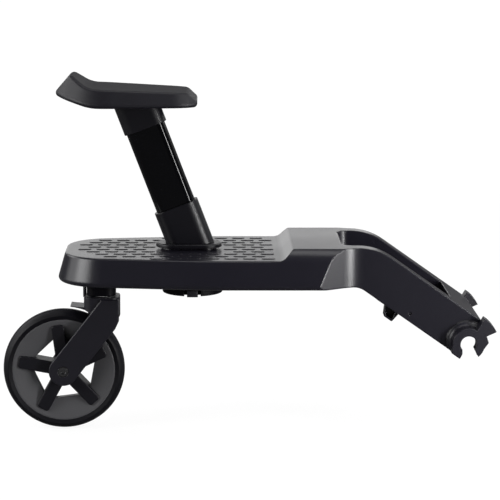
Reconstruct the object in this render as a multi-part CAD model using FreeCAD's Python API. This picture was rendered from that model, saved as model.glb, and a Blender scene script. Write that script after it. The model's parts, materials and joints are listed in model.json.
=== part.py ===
import FreeCAD, Part
import math
import os

# Buggy board: a sibling platform that snaps on a pushchair's rear axle and rolls on one caster.
# Millimetres. Origin on the axle that the clips hold, midway between them.
# +X points from the caster to the pushchair, +Y to the far side, +Z up.

V = FreeCAD.Vector
ALONG_Y = V(0, 1, 0)
UP = V(0, 0, 1)

# Fits shared by several pieces
FIT = 0.3                   # gap between mouldings that only locate each other
RUNNING_FIT = 0.05          # radial gap of a turning shaft
CUT_OVER = 5.0              # how far a cutting shape runs past the surface it opens
OVERRUN = 1.0               # the same where room is short, and how far joined forms run together
SAME = 1e-3                 # two places nearer than this are one
FAR = 400.0                 # past everything
ALMOST = 0.99               # of a full half round, so that a short straight run is left

# Axle clips
AXLE_DIAMETER = 20.0        # pushchair axle, which is the clip's bore
CLIP_WALL = 9.5
CLIP_WIDTH = 18.0           # along the axle
MOUTH_SHARE = 0.75          # opening of the mouth, as a share of the axle's diameter
CLIP_COVE = 7.0             # hollow curve from the ring to the arm's side
CLIP_SCREW_ANGLES = (80.0, 165.0)
CLIP_SCREW_COVER = 4.0      # plastic left over a screw's tip
TOOTH_REACH = 17.5          # past the ring
TOOTH_FROM = 24.6           # degrees above +X
TOOTH_TO = 59.2
JAW_DROP = 15.4             # how far the jaw's tip hangs below the axle's centre
JAW_TIP_X = 11.9
JAW_REACH = 24.4
JAW_CORNER_Z = 2.1
JAW_SLANT = 2.5
JAW_TOP = 9.5
JAW_TIP_ROUND = 1.0
JAW_CORNER_ROUND = 2.0
LIP_X = 10.6                # how far behind the axle's centre the hooked lip ends
LIP_SHOULDER = 12.0

# Arm that slopes down to the axle
ARM_SLOPE = 35.0            # degrees
ARM_ABOVE_AXLE = 30.9       # square to the slope, from the axle's centre to the arm's top
ARM_BELOW_AXLE = 20.9
ARM_END = 19.0              # along the slope, past the axle's centre
ARM_END_RADIUS = 24.0
ARM_TOP_BEND = 73.0
ARM_BOTTOM_BEND = 25.0
AXLE_CLEARANCE = 1.5        # round the axle where it passes the arm
POCKET_LEAD = 12.0          # the pocket starts this far before the waist's end
POCKET_TAPER = 6.0          # each side is this much further in at the pocket's end
POCKET_CORNER = 14.0
POCKET_FLOOR = 4.5
POCKET_STOP = 34.0          # along the slope, from the axle's centre back to the pocket's end
RAIL_WIDTH = 19.0
RAIL_WALL = 3.5
RAIL_CELLS = 5
RAIL_CELL_FROM = 112.0      # along the slope, from the axle's centre back
RAIL_CELL_TO = 36.0
HOOD_WALL = 5.0             # top and end wall over the axle
HOOD_SIDE = 11.0            # side wall that carries a clip
LUG_BACK = 107.0            # along the slope, from the axle's centre back to the lug's rear
LUG_LENGTH = 21.5
LUG_DROP = 13.8
LUG_REAR_SLANT = 8.0
LUG_FRONT_SLANT = 1.8
LUG_SETBACK = 15.0          # from the arm's side to the lug's outer face
LUG_THICKNESS = 17.0
LUG_WALL = 2.5
LUG_CORNER = 1.5
SIDE_HOLE_DIAMETER = 3.5
SIDE_HOLE_DEPTH = 2.0
SIDE_HOLE_BACK = 77.0       # along the slope, from the axle's centre back
SIDE_HOLE_RISE = 9.0        # square to the slope, above the arm's lower edge

# Deck and neck
DECK_BOTTOM = 67.5          # above the axle's centre
DECK_HEIGHT = 35.0
DECK_LENGTH = 289.0         # from the nose to the head of the ramp
DECK_HALF_WIDTH = 105.0
DECK_SHOULDER_RADIUS = 400.0
DECK_FLARE = 10.0           # how much narrower the top is than the foot of the wall
DECK_TOP_ROUND = 3.0
DECK_FOOT_ROUND = 5.0
SHOULDER_RUN = 104.0        # from where the deck stops widening to the head of the ramp
NOSE_TAPER = 25.0           # the nose is this much narrower on each side
ARM_TAPER = 28.0            # and the arm this much
NOSE_RADIUS = 64.0
NECK_X = -214.0             # head of the ramp, from the axle's centre
NECK_RISE = 13.0            # above the deck
NECK_LENGTH = 30.0          # from the head of the ramp to the waist
NECK_STEP = 5.0             # the neck's top is this much wider than the arm on each side
SKIRT_DROP = 16.0           # from the neck's top down to where its round side meets the deck's wall
RAMP_RUN = 12.5
RAMP_SINK = 0.5             # the ramp's foot dips this far into the deck's top
RAMP_FOOT_RADIUS = 14.0
RAMP_HEAD_RADIUS = 5.0
WAIST_RUN = 43.0
WAIST_END_RADIUS = 45.0
WALL = 4.0
SKIN = 4.0
RIB = 2.5
RIB_PITCH = 38.0            # from the board's middle to each long rib
COVER = 3.0
COVER_EDGE = 6.5            # from the foot of the deck's wall in to the cover
COVER_CORNER = 22.0
COVER_SCREW_EDGE = 18.0
WAIST_SCREW_EDGE = 7.0

# Seat post
POST_SETBACK = 167.0        # from the deck's nose to where the post's axis meets the deck
POST_LEAN = 21.0            # degrees from upright, top towards the caster
POST_WIDTH = 50.0
POST_DEPTH = 29.0
POST_CORNER = 12.0
POST_WALL = 2.0
LOWER_COLLAR_WALL = 3.2
UPPER_COLLAR_WALL = 2.4
LOWER_COLLAR_TOP = 57.5     # along the post, from the deck's top
UPPER_COLLAR = 31.0         # along the post's axis, down from the seat
FLANGE_EDGE = 14.0          # past the tube's ends
FLANGE_SIDE = 8.5           # past the tube's sides
FLANGE = 5.0
FLANGE_SHIFT = 4.5          # towards the caster, because the post leans that way
FLANGE_ROUND = 2.0
SOCKET_LIP = 3.0            # height of the deck's raised lip under the flange
FLANGE_OVERHANG = 6.0       # past that lip
SPIGOT_REACH = 45.0         # how far the spigot runs up inside the tube
SPIGOT_FIT = 0.1
SPIGOT_GAP = 1.5            # between the spigot's end and the cover
SOCKET_WALL = 4.5

# Seat
SEAT_HEIGHT = 180.0         # above the deck
SEAT_BEHIND = 102.0         # from the post's head back to the seat's rear end
SEAT_AHEAD = 83.2
SEAT_RISE_REAR = 23.5       # from the seat's underside to its top
SEAT_RISE_FRONT = 18.0
SEAT_HALF_REAR = 76.0
SEAT_HALF_FRONT = 53.0
SEAT_SIDE_LEAN = 0.39       # how far the sides lean in for each millimetre of height
SEAT_PLAN_EDGE = 6.0        # the plan's rounded ends lie this far past the side outline
SEAT_REAR_RUN = 48.0
SEAT_REAR_RISE = 13.0
SEAT_REAR_SWEEP = 75.0
SEAT_FRONT_SLANT = 20.0
SEAT_FRONT_FOOT = 5.0
SEAT_FRONT_HEAD = 11.0
SEAT_VALLEY_RUN = 45.0      # from the seat's rear end to the foot of its raised lip
SEAT_VALLEY = 32.0
SEAT_LIP_RUN = 23.0
SEAT_LIP_RISE = 39.5        # from the seat's underside to the lip's top
SEAT_LIP_ROUND = 6.0
SEAT_TAIL_ROUND = 5.0
SEAT_CORNER_REAR = 72.0
SEAT_CORNER_FRONT = 50.0
SEAT_EDGE_ROUND = 4.0
SEAT_BASE = 5.0
SEAT_BASE_INSET = 16.0
SEAT_SCREW_EDGE = 15.0

# Seat lock under the deck
LOCK_DIAMETER = 75.0
LOCK_HEIGHT = 19.5
LOCK_WALL = 3.0
LOCK_ROUND = 1.2
LOCK_SCREW_X = 15.0
LOCK_SCREW_Y = 23.5
NOTCH_DEPTH = 12.0
GUIDE_LENGTH = 30.0
PLATE_END_Y = 10.0
BUTTON_WIDTH = 13.5
BUTTON_SLIT = 3.4
BUTTON_DROP = 0.8           # how far the tab hangs below the housing
BUTTON_TRAVEL = 5.0
BUTTON_PLATE = 4.0
BUTTON_TAB = 4.0
BUTTON_STEP = 1.0           # the plate's bridge passes this far above its guides
TONGUE_WIDTH = 8.0
TONGUE_DEPTH = 6.0
TONGUE_RISE = 3.5           # how far the tongue enters the spigot's slot
TONGUE_ROOM = 2.5           # on each side of the tongue, in the spigot's slot
SPIGOT_SLOT_TOP = 16.0      # along the post, below the deck's top
WINDOW_MARGIN = 5.0         # round the tongue's travel, in the cover
SPRING_RADIUS = 3.0
SPRING_WIRE = 0.9
SPRING_TURNS = 5
SPRING_SEAT_Y = 25.0

# Caster
SWIVEL_SETBACK = 53.0       # from the deck's nose to the swivel axis
WHEEL_TRAIL = 47.5          # from the swivel axis back to the wheel's axle
WHEEL_RADIUS = 76.2
TYRE_HALF_WIDTH = 14.0
TYRE_HEIGHT = 12.0          # from the rim's lip to the tread
TYRE_CROWN = 7.0            # from the tyre's widest place out to its tread
TYRE_GROOVE_Y = 4.5
TYRE_GROOVE_WIDTH = 1.4
TYRE_GROOVE_DEPTH = 1.6
TYRE_ROOM = 5.5             # gap between the tyre and the fork's crown
RIM_INSET = 2.0             # the rim is this much narrower than the tyre on each side
RIM_FLANGE = 3.0            # how far the lip stands out from the tyre's seat
RIM_LIP = 1.5
RIM_FACE = 2.0
RIM_DISH_HALF = 3.0         # half thickness of the rim's web at its inner edge
WINDOW_APOTHEM = 36.0
WINDOW_CORNER = 3.0
SPOKES = 5
SPOKE_ANGLE = 25.5          # degrees above +X, first spoke
SPOKE_WIDTH = 16.0
SPOKE_STOP = 7.0            # from the spoke's end to the rim's lip
SPOKE_CORNER = 4.0
SPOKE_EDGE_ROUND = 1.2
SPOKE_PROUD = 0.8           # past the rim's side
HUB_WALL = 6.0              # round the bearings
HUB_PROUD = 0.5             # past the tyre's side
HUB_GAP = 1.5               # between the hub's bore and the sleeve on the bolt
SIDE_PLAY = 0.1
BEARING_OUTER = 22.0
BEARING_WIDTH = 7.0
BEARING_RACE = 2.0
BEARING_SEAL = 0.6
AXLE_BOLT = 8.0
SLEEVE_WALL = 2.0
WASHER = 1.5                # from the hub to the fork's leg
BOLT_HEAD_DIAMETER = 13.0
BOLT_HEAD = 4.5
BOLT_HEAD_ROUND = 0.8
BOLT_SINK = 5.0
BOLT_KEY = 6.0
NUT_SIZE = 11.0
FORK_LEG = 8.0
FORK_LEG_WIDTH = 36.0
FORK_LEG_SLOPE = 52.0       # degrees
FORK_DROP = 25.0            # from the deck's underside to the fork's head
FORK_BRIDGE = 11.2          # plastic between the head's top and the crown over the tyre
FORK_HEAD_EDGE = 4.0        # past the swivel boss
FORK_HEAD_SIDE = 5.0        # past the inside of each leg
FORK_HEAD_CORNER = 11.0
FORK_HEAD_SHIFT = 0.5       # the head's middle lies this far ahead of the swivel axis
FORK_SHOULDER = 28.5        # from the head's top down to its front corner
FORK_CHIN = 10.0            # height of the slanted edge under the shoulder
FORK_HEAD_LIFT = 5.0        # the head between the legs ends this far above that corner
FORK_LEG_CORNER = 2.5
FORK_EDGE_ROUND = 1.2
FORK_LEG_STEP = 1.5         # the legs end this far below the head's top
TAIL_REACH = 16.8           # how far the mudguard's tail runs past the head
TAIL_TIP = 11.0             # below the head's top
TAIL_ROOT = 13.5
TAIL_HEEL = 7.0             # the tail's underside leaves the tyre this far past the head
TAIL_HEEL_DROP = 22.0       # below the head's top
TAIL_HALF_WIDTH = 15.0
GUARD_GAP = 0.7             # between the small upstand and the swivel boss's corners
GUARD_WALL = 1.8
GUARD_HEIGHT = 12.0
GUARD_SWEEP = 50.0          # degrees
SWIVEL_BOSS = 36.0
SWIVEL_BOSS_CORNER = 12.0
SWIVEL_GAP = 0.5            # between the lower bush and the fork's head
SWIVEL_FLANGE = 5.0
SWIVEL_FLANGE_EDGE = 10.0   # past the boss
SWIVEL_SCREW_EDGE = 7.0
SWIVEL_HEADROOM = 8.5       # from the housing's top to the deck's skin
STEM_DIAMETER = 12.0
STEM_DEPTH = 22.0           # in the fork's head
STEM_TIP = 3.2              # past the retaining ring
BUSH_WALL = 4.0
BUSH_FLANGE = 1.5
BUSH_LENGTH = 12.0
BUSH_SEAT_WALL = 6.0
STEM_ROOM = 1.5             # round the stem between the bushes
RETAINER = 1.5
RETAINER_WIDTH = 4.5
RETAINER_GROOVE = 1.0
RETAINER_GAP = 5.0

# Fasteners
SCREW_SHANK = 3.0
SCREW_HEAD = 7.0
SCREW_HEAD_HEIGHT = 2.2
SCREW_BITE = 10.0
SCREW_SLOT = 1.0
SCREW_FIT = 0.1
BOSS_DIAMETER = 9.0

# Worked out: widths, arm and clips
ARM_HALF_WIDTH = DECK_HALF_WIDTH - ARM_TAPER
NOSE_HALF = DECK_HALF_WIDTH - NOSE_TAPER
NECK_HALF_WIDTH = ARM_HALF_WIDTH + NECK_STEP
SLOPE = math.radians(ARM_SLOPE)
BORE_RADIUS = AXLE_DIAMETER / 2
CLIP_OUTER = BORE_RADIUS + CLIP_WALL
CLIP_END = ARM_HALF_WIDTH + CLIP_WIDTH
CLIP_MOUTH = AXLE_DIAMETER * MOUTH_SHARE
TOOTH_RADIUS = CLIP_OUTER + TOOTH_REACH
AXLE_ROOM = BORE_RADIUS + AXLE_CLEARANCE

# Worked out: along the board
DECK_SHOULDER_X = NECK_X - SHOULDER_RUN
NOSE_X = NECK_X - DECK_LENGTH
RAMP_FOOT_X = NECK_X - RAMP_RUN
WAIST_START_X = NECK_X + NECK_LENGTH
WAIST_END_X = WAIST_START_X + WAIST_RUN
POCKET_START_X = WAIST_END_X - POCKET_LEAD
POCKET_HALF_START = ARM_HALF_WIDTH - RAIL_WIDTH
POST_FOOT_X = NOSE_X + POST_SETBACK
SWIVEL_X = NOSE_X + SWIVEL_SETBACK
WHEEL_X = SWIVEL_X - WHEEL_TRAIL
CROSS_RIBS_X = (SWIVEL_X + POST_WIDTH, POST_FOOT_X + POST_WIDTH, WAIST_START_X)
COVER_SCREW_X = (SWIVEL_X + POST_WIDTH / 2, POST_FOOT_X, NECK_X)
WAIST_SCREW_X = POCKET_START_X - COVER_EDGE - WAIST_SCREW_EDGE

# Worked out: heights of the deck, the lock and the seat
LEAN = math.radians(POST_LEAN)
COVER_TOP = DECK_BOTTOM + COVER
DECK_TOP = DECK_BOTTOM + DECK_HEIGHT
NECK_TOP = DECK_TOP + NECK_RISE
SKIN_UNDERSIDE = DECK_TOP - SKIN
FLANGE_FOOT = DECK_TOP + SOCKET_LIP
FLANGE_TOP = FLANGE_FOOT + FLANGE
LOCK_BOTTOM = DECK_BOTTOM - LOCK_HEIGHT
SPIGOT_END = COVER_TOP + SPIGOT_GAP
TONGUE_X = POST_FOOT_X + (DECK_TOP - SPIGOT_END) * math.tan(LEAN)
SPIGOT_SLOT = TONGUE_WIDTH + 2 * TONGUE_ROOM
SEAT_BOTTOM = DECK_TOP + SEAT_HEIGHT
SEAT_HEAD_X = POST_FOOT_X - SEAT_HEIGHT * math.tan(LEAN)
SEAT_REAR_X = SEAT_HEAD_X - SEAT_BEHIND
SEAT_FRONT_X = SEAT_HEAD_X + SEAT_AHEAD
UPPER_COLLAR_FOOT = SEAT_HEIGHT / math.cos(LEAN) - UPPER_COLLAR

# Worked out: caster
FORK_HEAD_TOP = DECK_BOTTOM - FORK_DROP
CROWN_RADIUS = WHEEL_RADIUS + TYRE_ROOM
WHEEL_Z = FORK_HEAD_TOP - FORK_BRIDGE - CROWN_RADIUS
RIM_RADIUS = WHEEL_RADIUS - TYRE_HEIGHT
TYRE_SEAT_RADIUS = RIM_RADIUS - RIM_FLANGE
RIM_HALF_WIDTH = TYRE_HALF_WIDTH - RIM_INSET
SPIDER_HALF_WIDTH = RIM_HALF_WIDTH + SPOKE_PROUD
SPOKE_REACH = RIM_RADIUS - SPOKE_STOP
HUB_RADIUS = BEARING_OUTER / 2 + HUB_WALL
HUB_HALF_WIDTH = TYRE_HALF_WIDTH + HUB_PROUD
AXLE_SLEEVE = AXLE_BOLT + 2 * SLEEVE_WALL
FORK_GAP_HALF = HUB_HALF_WIDTH + WASHER
FORK_HEAD_SIZE = SWIVEL_BOSS + 2 * FORK_HEAD_EDGE
FORK_HEAD_HALF_DEPTH = FORK_GAP_HALF + FORK_HEAD_SIDE
FORK_SHOULDER_Z = FORK_HEAD_TOP - FORK_SHOULDER
GUARD_INNER = (SWIVEL_BOSS / 2 - SWIVEL_BOSS_CORNER) * math.sqrt(2) + SWIVEL_BOSS_CORNER + GUARD_GAP
SWIVEL_BOSS_BOTTOM = FORK_HEAD_TOP + SWIVEL_GAP + BUSH_FLANGE
SWIVEL_BARREL_TOP = SKIN_UNDERSIDE - SWIVEL_HEADROOM
SWIVEL_FLANGE_SIZE = SWIVEL_BOSS + 2 * SWIVEL_FLANGE_EDGE
SWIVEL_SCREW_PITCH = SWIVEL_FLANGE_SIZE - 2 * SWIVEL_SCREW_EDGE
BUSH_OUTER = STEM_DIAMETER + 2 * BUSH_WALL
RETAINER_Z = SWIVEL_BARREL_TOP + BUSH_FLANGE + FIT
STEM_GROOVE_RADIUS = STEM_DIAMETER / 2 - RETAINER_GROOVE
STEM_BOTTOM = FORK_HEAD_TOP - STEM_DEPTH
STEM_TOP = RETAINER_Z + RETAINER + STEM_TIP


def in_plan(z):
    """Sketch points on a level plane."""
    return lambda u, v: V(u, v, z)


def in_side(y):
    """Sketch points on an upright plane along the board."""
    return lambda u, v: V(u, y, v)


def in_section(x):
    """Sketch points on an upright plane across the board."""
    return lambda u, v: V(x, u, v)


def rounded_wire(corners, place):
    """Closed outline from (u, v, radius) corners: straight runs joined by tangent arcs."""
    count = len(corners)
    runs = []
    for index, (u, v, radius) in enumerate(corners):
        corner = V(u, v, 0)
        before = V(corners[index - 1][0], corners[index - 1][1], 0) - corner
        after = V(corners[(index + 1) % count][0], corners[(index + 1) % count][1], 0) - corner
        before.normalize()
        after.normalize()
        half = before.getAngle(after) / 2
        reach = radius / math.tan(half)
        bisector = before + after
        bisector.normalize()
        middle = corner + bisector * (radius / math.sin(half) - radius)
        runs.append((corner + before * reach, middle, corner + after * reach, radius))
    edges = []
    for index, (start, middle, end, radius) in enumerate(runs):
        if radius > 0:
            points = [place(p.x, p.y) for p in (start, middle, end)]
            edges.append(Part.Arc(*points).toShape())
        following = runs[(index + 1) % count][0]
        if end.distanceToPoint(following) > SAME:
            ends = [place(p.x, p.y) for p in (end, following)]
            edges.append(Part.LineSegment(*ends).toShape())
    return Part.Wire(edges)


def drawn_in(corners, inset):
    """Parallel outline inside an anticlockwise one: corners move in and their radii follow."""
    count = len(corners)
    result = []
    for index, (u, v, radius) in enumerate(corners):
        corner = V(u, v, 0)
        before = V(corners[index - 1][0], corners[index - 1][1], 0) - corner
        after = V(corners[(index + 1) % count][0], corners[(index + 1) % count][1], 0) - corner
        before.normalize()
        after.normalize()
        outward = 1 if after.cross(before).z > 0 else -1
        bisector = before + after
        bisector.normalize()
        moved = corner + bisector * (outward * inset / math.sin(before.getAngle(after) / 2))
        result.append((moved.x, moved.y, max(radius - outward * inset, 0.0) if radius > 0 else 0.0))
    return result


def both_sides(half):
    """Mirror a half outline, given from one end to the other on the -Y side."""
    return half + [(x, -y, radius) for x, y, radius in reversed(half)]


def slab(corners, low, high):
    """Level plate between two heights."""
    return Part.Face(rounded_wire(corners, in_plan(low))).extrude(V(0, 0, high - low))


def side_slab(corners, near, far):
    """Upright plate between two Y planes, from an outline in X and Z."""
    return Part.Face(rounded_wire(corners, in_side(near))).extrude(V(0, far - near, 0))


def box(x0, x1, y0, y1, z0, z1):
    return Part.makeBox(x1 - x0, y1 - y0, z1 - z0, V(x0, y0, z0))


def rod(radius, start, end):
    """Round bar between two points."""
    return Part.makeCylinder(radius, (end - start).Length, start, end - start)


def upright(radius, x, y, low, high):
    return rod(radius, V(x, y, low), V(x, y, high))


def across(radius, x, z, near, far):
    return rod(radius, V(x, near, z), V(x, far, z))


def rectangle(length, width, corner, x=0.0, y=0.0):
    """Corners of a rounded rectangle about a centre."""
    a = length / 2
    b = width / 2
    return [(x - a, y - b, corner), (x + a, y - b, corner), (x + a, y + b, corner), (x - a, y + b, corner)]


def joined(shapes):
    first, *rest = shapes
    return first.fuse(rest).removeSplitter() if rest else first


def along_arm(back, rise):
    """Point in X and Z from distances back along the arm's slope and square above it."""
    x = -back * math.cos(SLOPE) + rise * math.sin(SLOPE)
    z = back * math.sin(SLOPE) + rise * math.cos(SLOPE)
    return x, z


def arm_line_x(rise, z):
    """X at which a line parallel to the arm, at a rise square to it, reaches a height."""
    return (rise / math.cos(SLOPE) - z) / math.tan(SLOPE)


def fillet_where(shape, radius, chosen):
    """Round the edges that a test picks."""
    return shape.makeFillet(radius, [edge for edge in shape.Edges if chosen(edge)])


def at_height(z):
    """Test for edges that lie in a level plane."""
    return lambda edge: all(abs(vertex.Z - z) < SAME for vertex in edge.Vertexes)


def at_side(y):
    """Test for edges that lie in an upright plane along the board."""
    return lambda edge: all(abs(vertex.Y - y) < SAME for vertex in edge.Vertexes)


# Deck, neck and arm: one moulding


def deck_corners():
    """Deck outline in plan, at the foot of its wall, run on under the neck to the waist's end."""
    return both_sides([
        (NOSE_X, -NOSE_HALF, NOSE_RADIUS),
        (DECK_SHOULDER_X, -DECK_HALF_WIDTH, DECK_SHOULDER_RADIUS),
        (WAIST_END_X + DECK_FLARE, -DECK_HALF_WIDTH, 0.0),
    ])


def foot_corners():
    """Outline of the open underside, from the nose to the pocket's end wall."""
    end_half = ARM_HALF_WIDTH + ARM_TAPER * POCKET_LEAD / WAIST_RUN
    return both_sides([
        (NOSE_X, -NOSE_HALF, NOSE_RADIUS),
        (DECK_SHOULDER_X, -DECK_HALF_WIDTH, DECK_SHOULDER_RADIUS),
        (WAIST_START_X, -DECK_HALF_WIDTH, COVER_CORNER),
        (POCKET_START_X, -end_half, 0.0),
    ])


def wall_half(z):
    """Half width of the deck's straight wall at a height."""
    return DECK_HALF_WIDTH - DECK_FLARE * (z - DECK_BOTTOM) / DECK_HEIGHT


def deck_body(inset, low, high):
    """Tapered slab of the deck between two heights, with walls drawn in by an inset."""
    outlines = []
    for z in (low, high):
        lean = DECK_HALF_WIDTH - wall_half(z)
        outlines.append(rounded_wire(drawn_in(deck_corners(), inset + lean), in_plan(z)))
    return Part.makeLoft(outlines, True, True)


def neck_section(inset, low, x0, x1):
    """Neck drawn in by an inset and run along X: the deck's wall, then a round side up to its top."""
    skirt = NECK_TOP - SKIRT_DROP
    corner = V(x0, NECK_HALF_WIDTH - inset, NECK_TOP - inset)
    joint = V(x0, wall_half(skirt) - inset, skirt)
    foot = V(x0, wall_half(low) - inset, low)
    chord = corner - joint
    outward = V(0, chord.z, -chord.y)
    outward.normalize()
    bulge = chord.Length / 2 * math.tan(chord.getAngle(joint - foot) / 2)
    middle = joint + chord * 0.5 + outward * bulge
    flip = lambda p: V(p.x, -p.y, p.z)
    wire = Part.Wire([
        Part.LineSegment(flip(corner), corner).toShape(),
        Part.Arc(corner, middle, joint).toShape(),
        Part.LineSegment(joint, foot).toShape(),
        Part.LineSegment(foot, flip(foot)).toShape(),
        Part.LineSegment(flip(foot), flip(joint)).toShape(),
        Part.Arc(flip(joint), flip(middle), flip(corner)).toShape(),
    ])
    return Part.Face(wire).extrude(V(x1 - x0, 0, 0))


def neck_profile():
    """Side outline of the neck and the arm, from the ramp to the rounded end over the axle."""
    end_x, end_z = along_arm(-ARM_END, ARM_ABOVE_AXLE)
    foot_x, foot_z = along_arm(-ARM_END, -ARM_BELOW_AXLE)
    start = RAMP_FOOT_X - RAMP_FOOT_RADIUS
    return [
        (start, DECK_TOP - RAMP_SINK, 0.0),
        (RAMP_FOOT_X, DECK_TOP - RAMP_SINK / 2, RAMP_FOOT_RADIUS),
        (NECK_X, NECK_TOP, RAMP_HEAD_RADIUS),
        (arm_line_x(ARM_ABOVE_AXLE, NECK_TOP), NECK_TOP, ARM_TOP_BEND),
        (end_x, end_z, ARM_END_RADIUS),
        (foot_x, foot_z, 0.0),
        (arm_line_x(-ARM_BELOW_AXLE, DECK_BOTTOM), DECK_BOTTOM, ARM_BOTTOM_BEND),
        (start, DECK_BOTTOM, 0.0),
    ]


def waist_plan():
    """Plan outline that leaves the deck's wall at a crease and sweeps in to the arm."""
    wide = DECK_HALF_WIDTH + CUT_OVER
    return both_sides([
        (NOSE_X - CUT_OVER, -wide, 0.0),
        (WAIST_START_X - CUT_OVER * WAIST_RUN / ARM_TAPER, -wide, 0.0),
        (WAIST_END_X, -ARM_HALF_WIDTH, WAIST_END_RADIUS),
        (ARM_ABOVE_AXLE + ARM_END, -ARM_HALF_WIDTH, 0.0),
    ])


def neck_and_arm():
    start = RAMP_FOOT_X - RAMP_FOOT_RADIUS - OVERRUN
    end = ARM_ABOVE_AXLE + ARM_END
    neck = neck_section(0.0, DECK_BOTTOM + 2 * DECK_FOOT_ROUND, start, WAIST_END_X + WAIST_END_RADIUS)
    arm = box(WAIST_END_X - OVERRUN, end, -DECK_HALF_WIDTH, DECK_HALF_WIDTH, -FAR, NECK_TOP)
    return joined([neck, arm]).common(side_slab(neck_profile(), -FAR, FAR))


def rounded_deck():
    """Deck with its upper and lower edges rounded, apart from the end that the neck hides."""
    deck = deck_body(0.0, DECK_BOTTOM, DECK_TOP)
    for z, radius in ((DECK_TOP, DECK_TOP_ROUND), (DECK_BOTTOM, DECK_FOOT_ROUND)):
        level = at_height(z)
        deck = fillet_where(deck, radius,
                            lambda edge: level(edge) and edge.BoundBox.XMin < WAIST_END_X - OVERRUN)
    return deck


def post_frame(shape):
    """Lean a shape that was drawn about an upright axis, with its foot on the deck's top."""
    foot = V(POST_FOOT_X, 0, DECK_TOP)
    shape.Placement = FreeCAD.Placement(foot, FreeCAD.Rotation(ALONG_Y, -POST_LEAN))
    return shape


def post_bar(grow, low, high):
    """Bar along the leaning post with the tube's section made larger all round by grow."""
    outline = rectangle(POST_WIDTH + 2 * grow, POST_DEPTH + 2 * grow, POST_CORNER + grow)
    return post_frame(slab(outline, low, high))


def spigot_bar(grow):
    """Long bar with the spigot's section, for the spigot and every hole that it passes."""
    return post_bar(grow - POST_WALL - SPIGOT_FIT, -DECK_TOP, SPIGOT_REACH)


def flange_plan(inset):
    """Outline of the post's foot plate, drawn in by an inset."""
    length = POST_WIDTH / math.cos(LEAN) + 2 * (FLANGE_EDGE - inset)
    width = POST_DEPTH + 2 * (FLANGE_SIDE - inset)
    return rectangle(length, width, width / 2 * ALMOST, POST_FOOT_X - FLANGE_SHIFT)


def below(z):
    return box(NOSE_X - FAR, FAR, -FAR, FAR, z - FAR, z)


def above(z):
    return box(NOSE_X - FAR, FAR, -FAR, FAR, z, z + FAR)


def deck_half(x):
    """Half width of the deck's foot at a place along the board."""
    share = (x - NOSE_X) / (DECK_SHOULDER_X - NOSE_X)
    return NOSE_HALF + (DECK_HALF_WIDTH - NOSE_HALF) * min(share, 1.0)


def cover_screw_places():
    places = []
    for x in COVER_SCREW_X:
        y = deck_half(x) - COVER_SCREW_EDGE
        places += [(x, -y), (x, y)]
    y = ARM_HALF_WIDTH - WAIST_SCREW_EDGE
    places += [(WAIST_SCREW_X, -y), (WAIST_SCREW_X, y)]
    return places


def swivel_screw_places():
    pitch = SWIVEL_SCREW_PITCH / 2
    return [(SWIVEL_X + a * pitch, b * pitch) for a in (-1, 1) for b in (-1, 1)]


def lock_screw_places():
    return [(POST_FOOT_X + a * LOCK_SCREW_X, b * LOCK_SCREW_Y) for a in (-1, 1) for b in (-1, 1)]


def screw(x, y, seat, tip):
    """Countersunk screw driven upwards, its flat head level with the seat."""
    head = Part.makeCone(SCREW_HEAD / 2, SCREW_SHANK / 2, SCREW_HEAD_HEIGHT, V(x, y, seat), UP)
    half = SCREW_SLOT / 2
    slot = box(x - SCREW_HEAD, x + SCREW_HEAD, y - half, y + half, seat - OVERRUN, seat + SCREW_SLOT)
    return joined([head, upright(SCREW_SHANK / 2, x, y, seat, tip)]).cut(slot)


def screw_group(places, seat, tip):
    return Part.makeCompound([screw(x, y, seat, tip) for x, y in places])


def screw_room(x, y, seat, tip):
    """Hole for such a screw, with its countersink."""
    shank = SCREW_SHANK / 2 + SCREW_FIT
    head = Part.makeCone(SCREW_HEAD / 2 + SCREW_FIT, shank, SCREW_HEAD_HEIGHT, V(x, y, seat), UP)
    mouth = upright(SCREW_HEAD / 2 + SCREW_FIT, x, y, seat - CUT_OVER, seat)
    return joined([head, mouth, upright(shank, x, y, seat, tip)])


def hollow():
    """Space inside the deck and the neck, above the cover, parted by ribs and screw bosses."""
    deck = deck_body(COVER_EDGE, COVER_TOP, SKIN_UNDERSIDE)
    neck = neck_section(WALL, COVER_TOP, NECK_X + RIB, WAIST_END_X)
    space = joined([deck, neck]).common(slab(drawn_in(foot_corners(), COVER_EDGE), COVER_TOP, NECK_TOP))
    ribs = [box(NOSE_X, FAR, side * RIB_PITCH - RIB / 2, side * RIB_PITCH + RIB / 2, COVER_TOP, NECK_TOP)
            for side in (-1, 1)]
    ribs += [box(x - RIB / 2, x + RIB / 2, -FAR, FAR, COVER_TOP, NECK_TOP) for x in CROSS_RIBS_X]
    bosses = [upright(BOSS_DIAMETER / 2, x, y, COVER_TOP, NECK_TOP)
              for x, y in cover_screw_places() + lock_screw_places()]
    bosses += [upright(BOSS_DIAMETER / 2, x, y, COVER_TOP + SWIVEL_FLANGE, NECK_TOP)
               for x, y in swivel_screw_places()]
    return space.cut(ribs + bosses)


def arm_plate(corners, near, far):
    """Plate across the arm from (back, rise, radius) corners measured along its slope."""
    placed = [along_arm(back, rise) + (radius,) for back, rise, radius in corners]
    return side_slab(placed, near, far)


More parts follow.
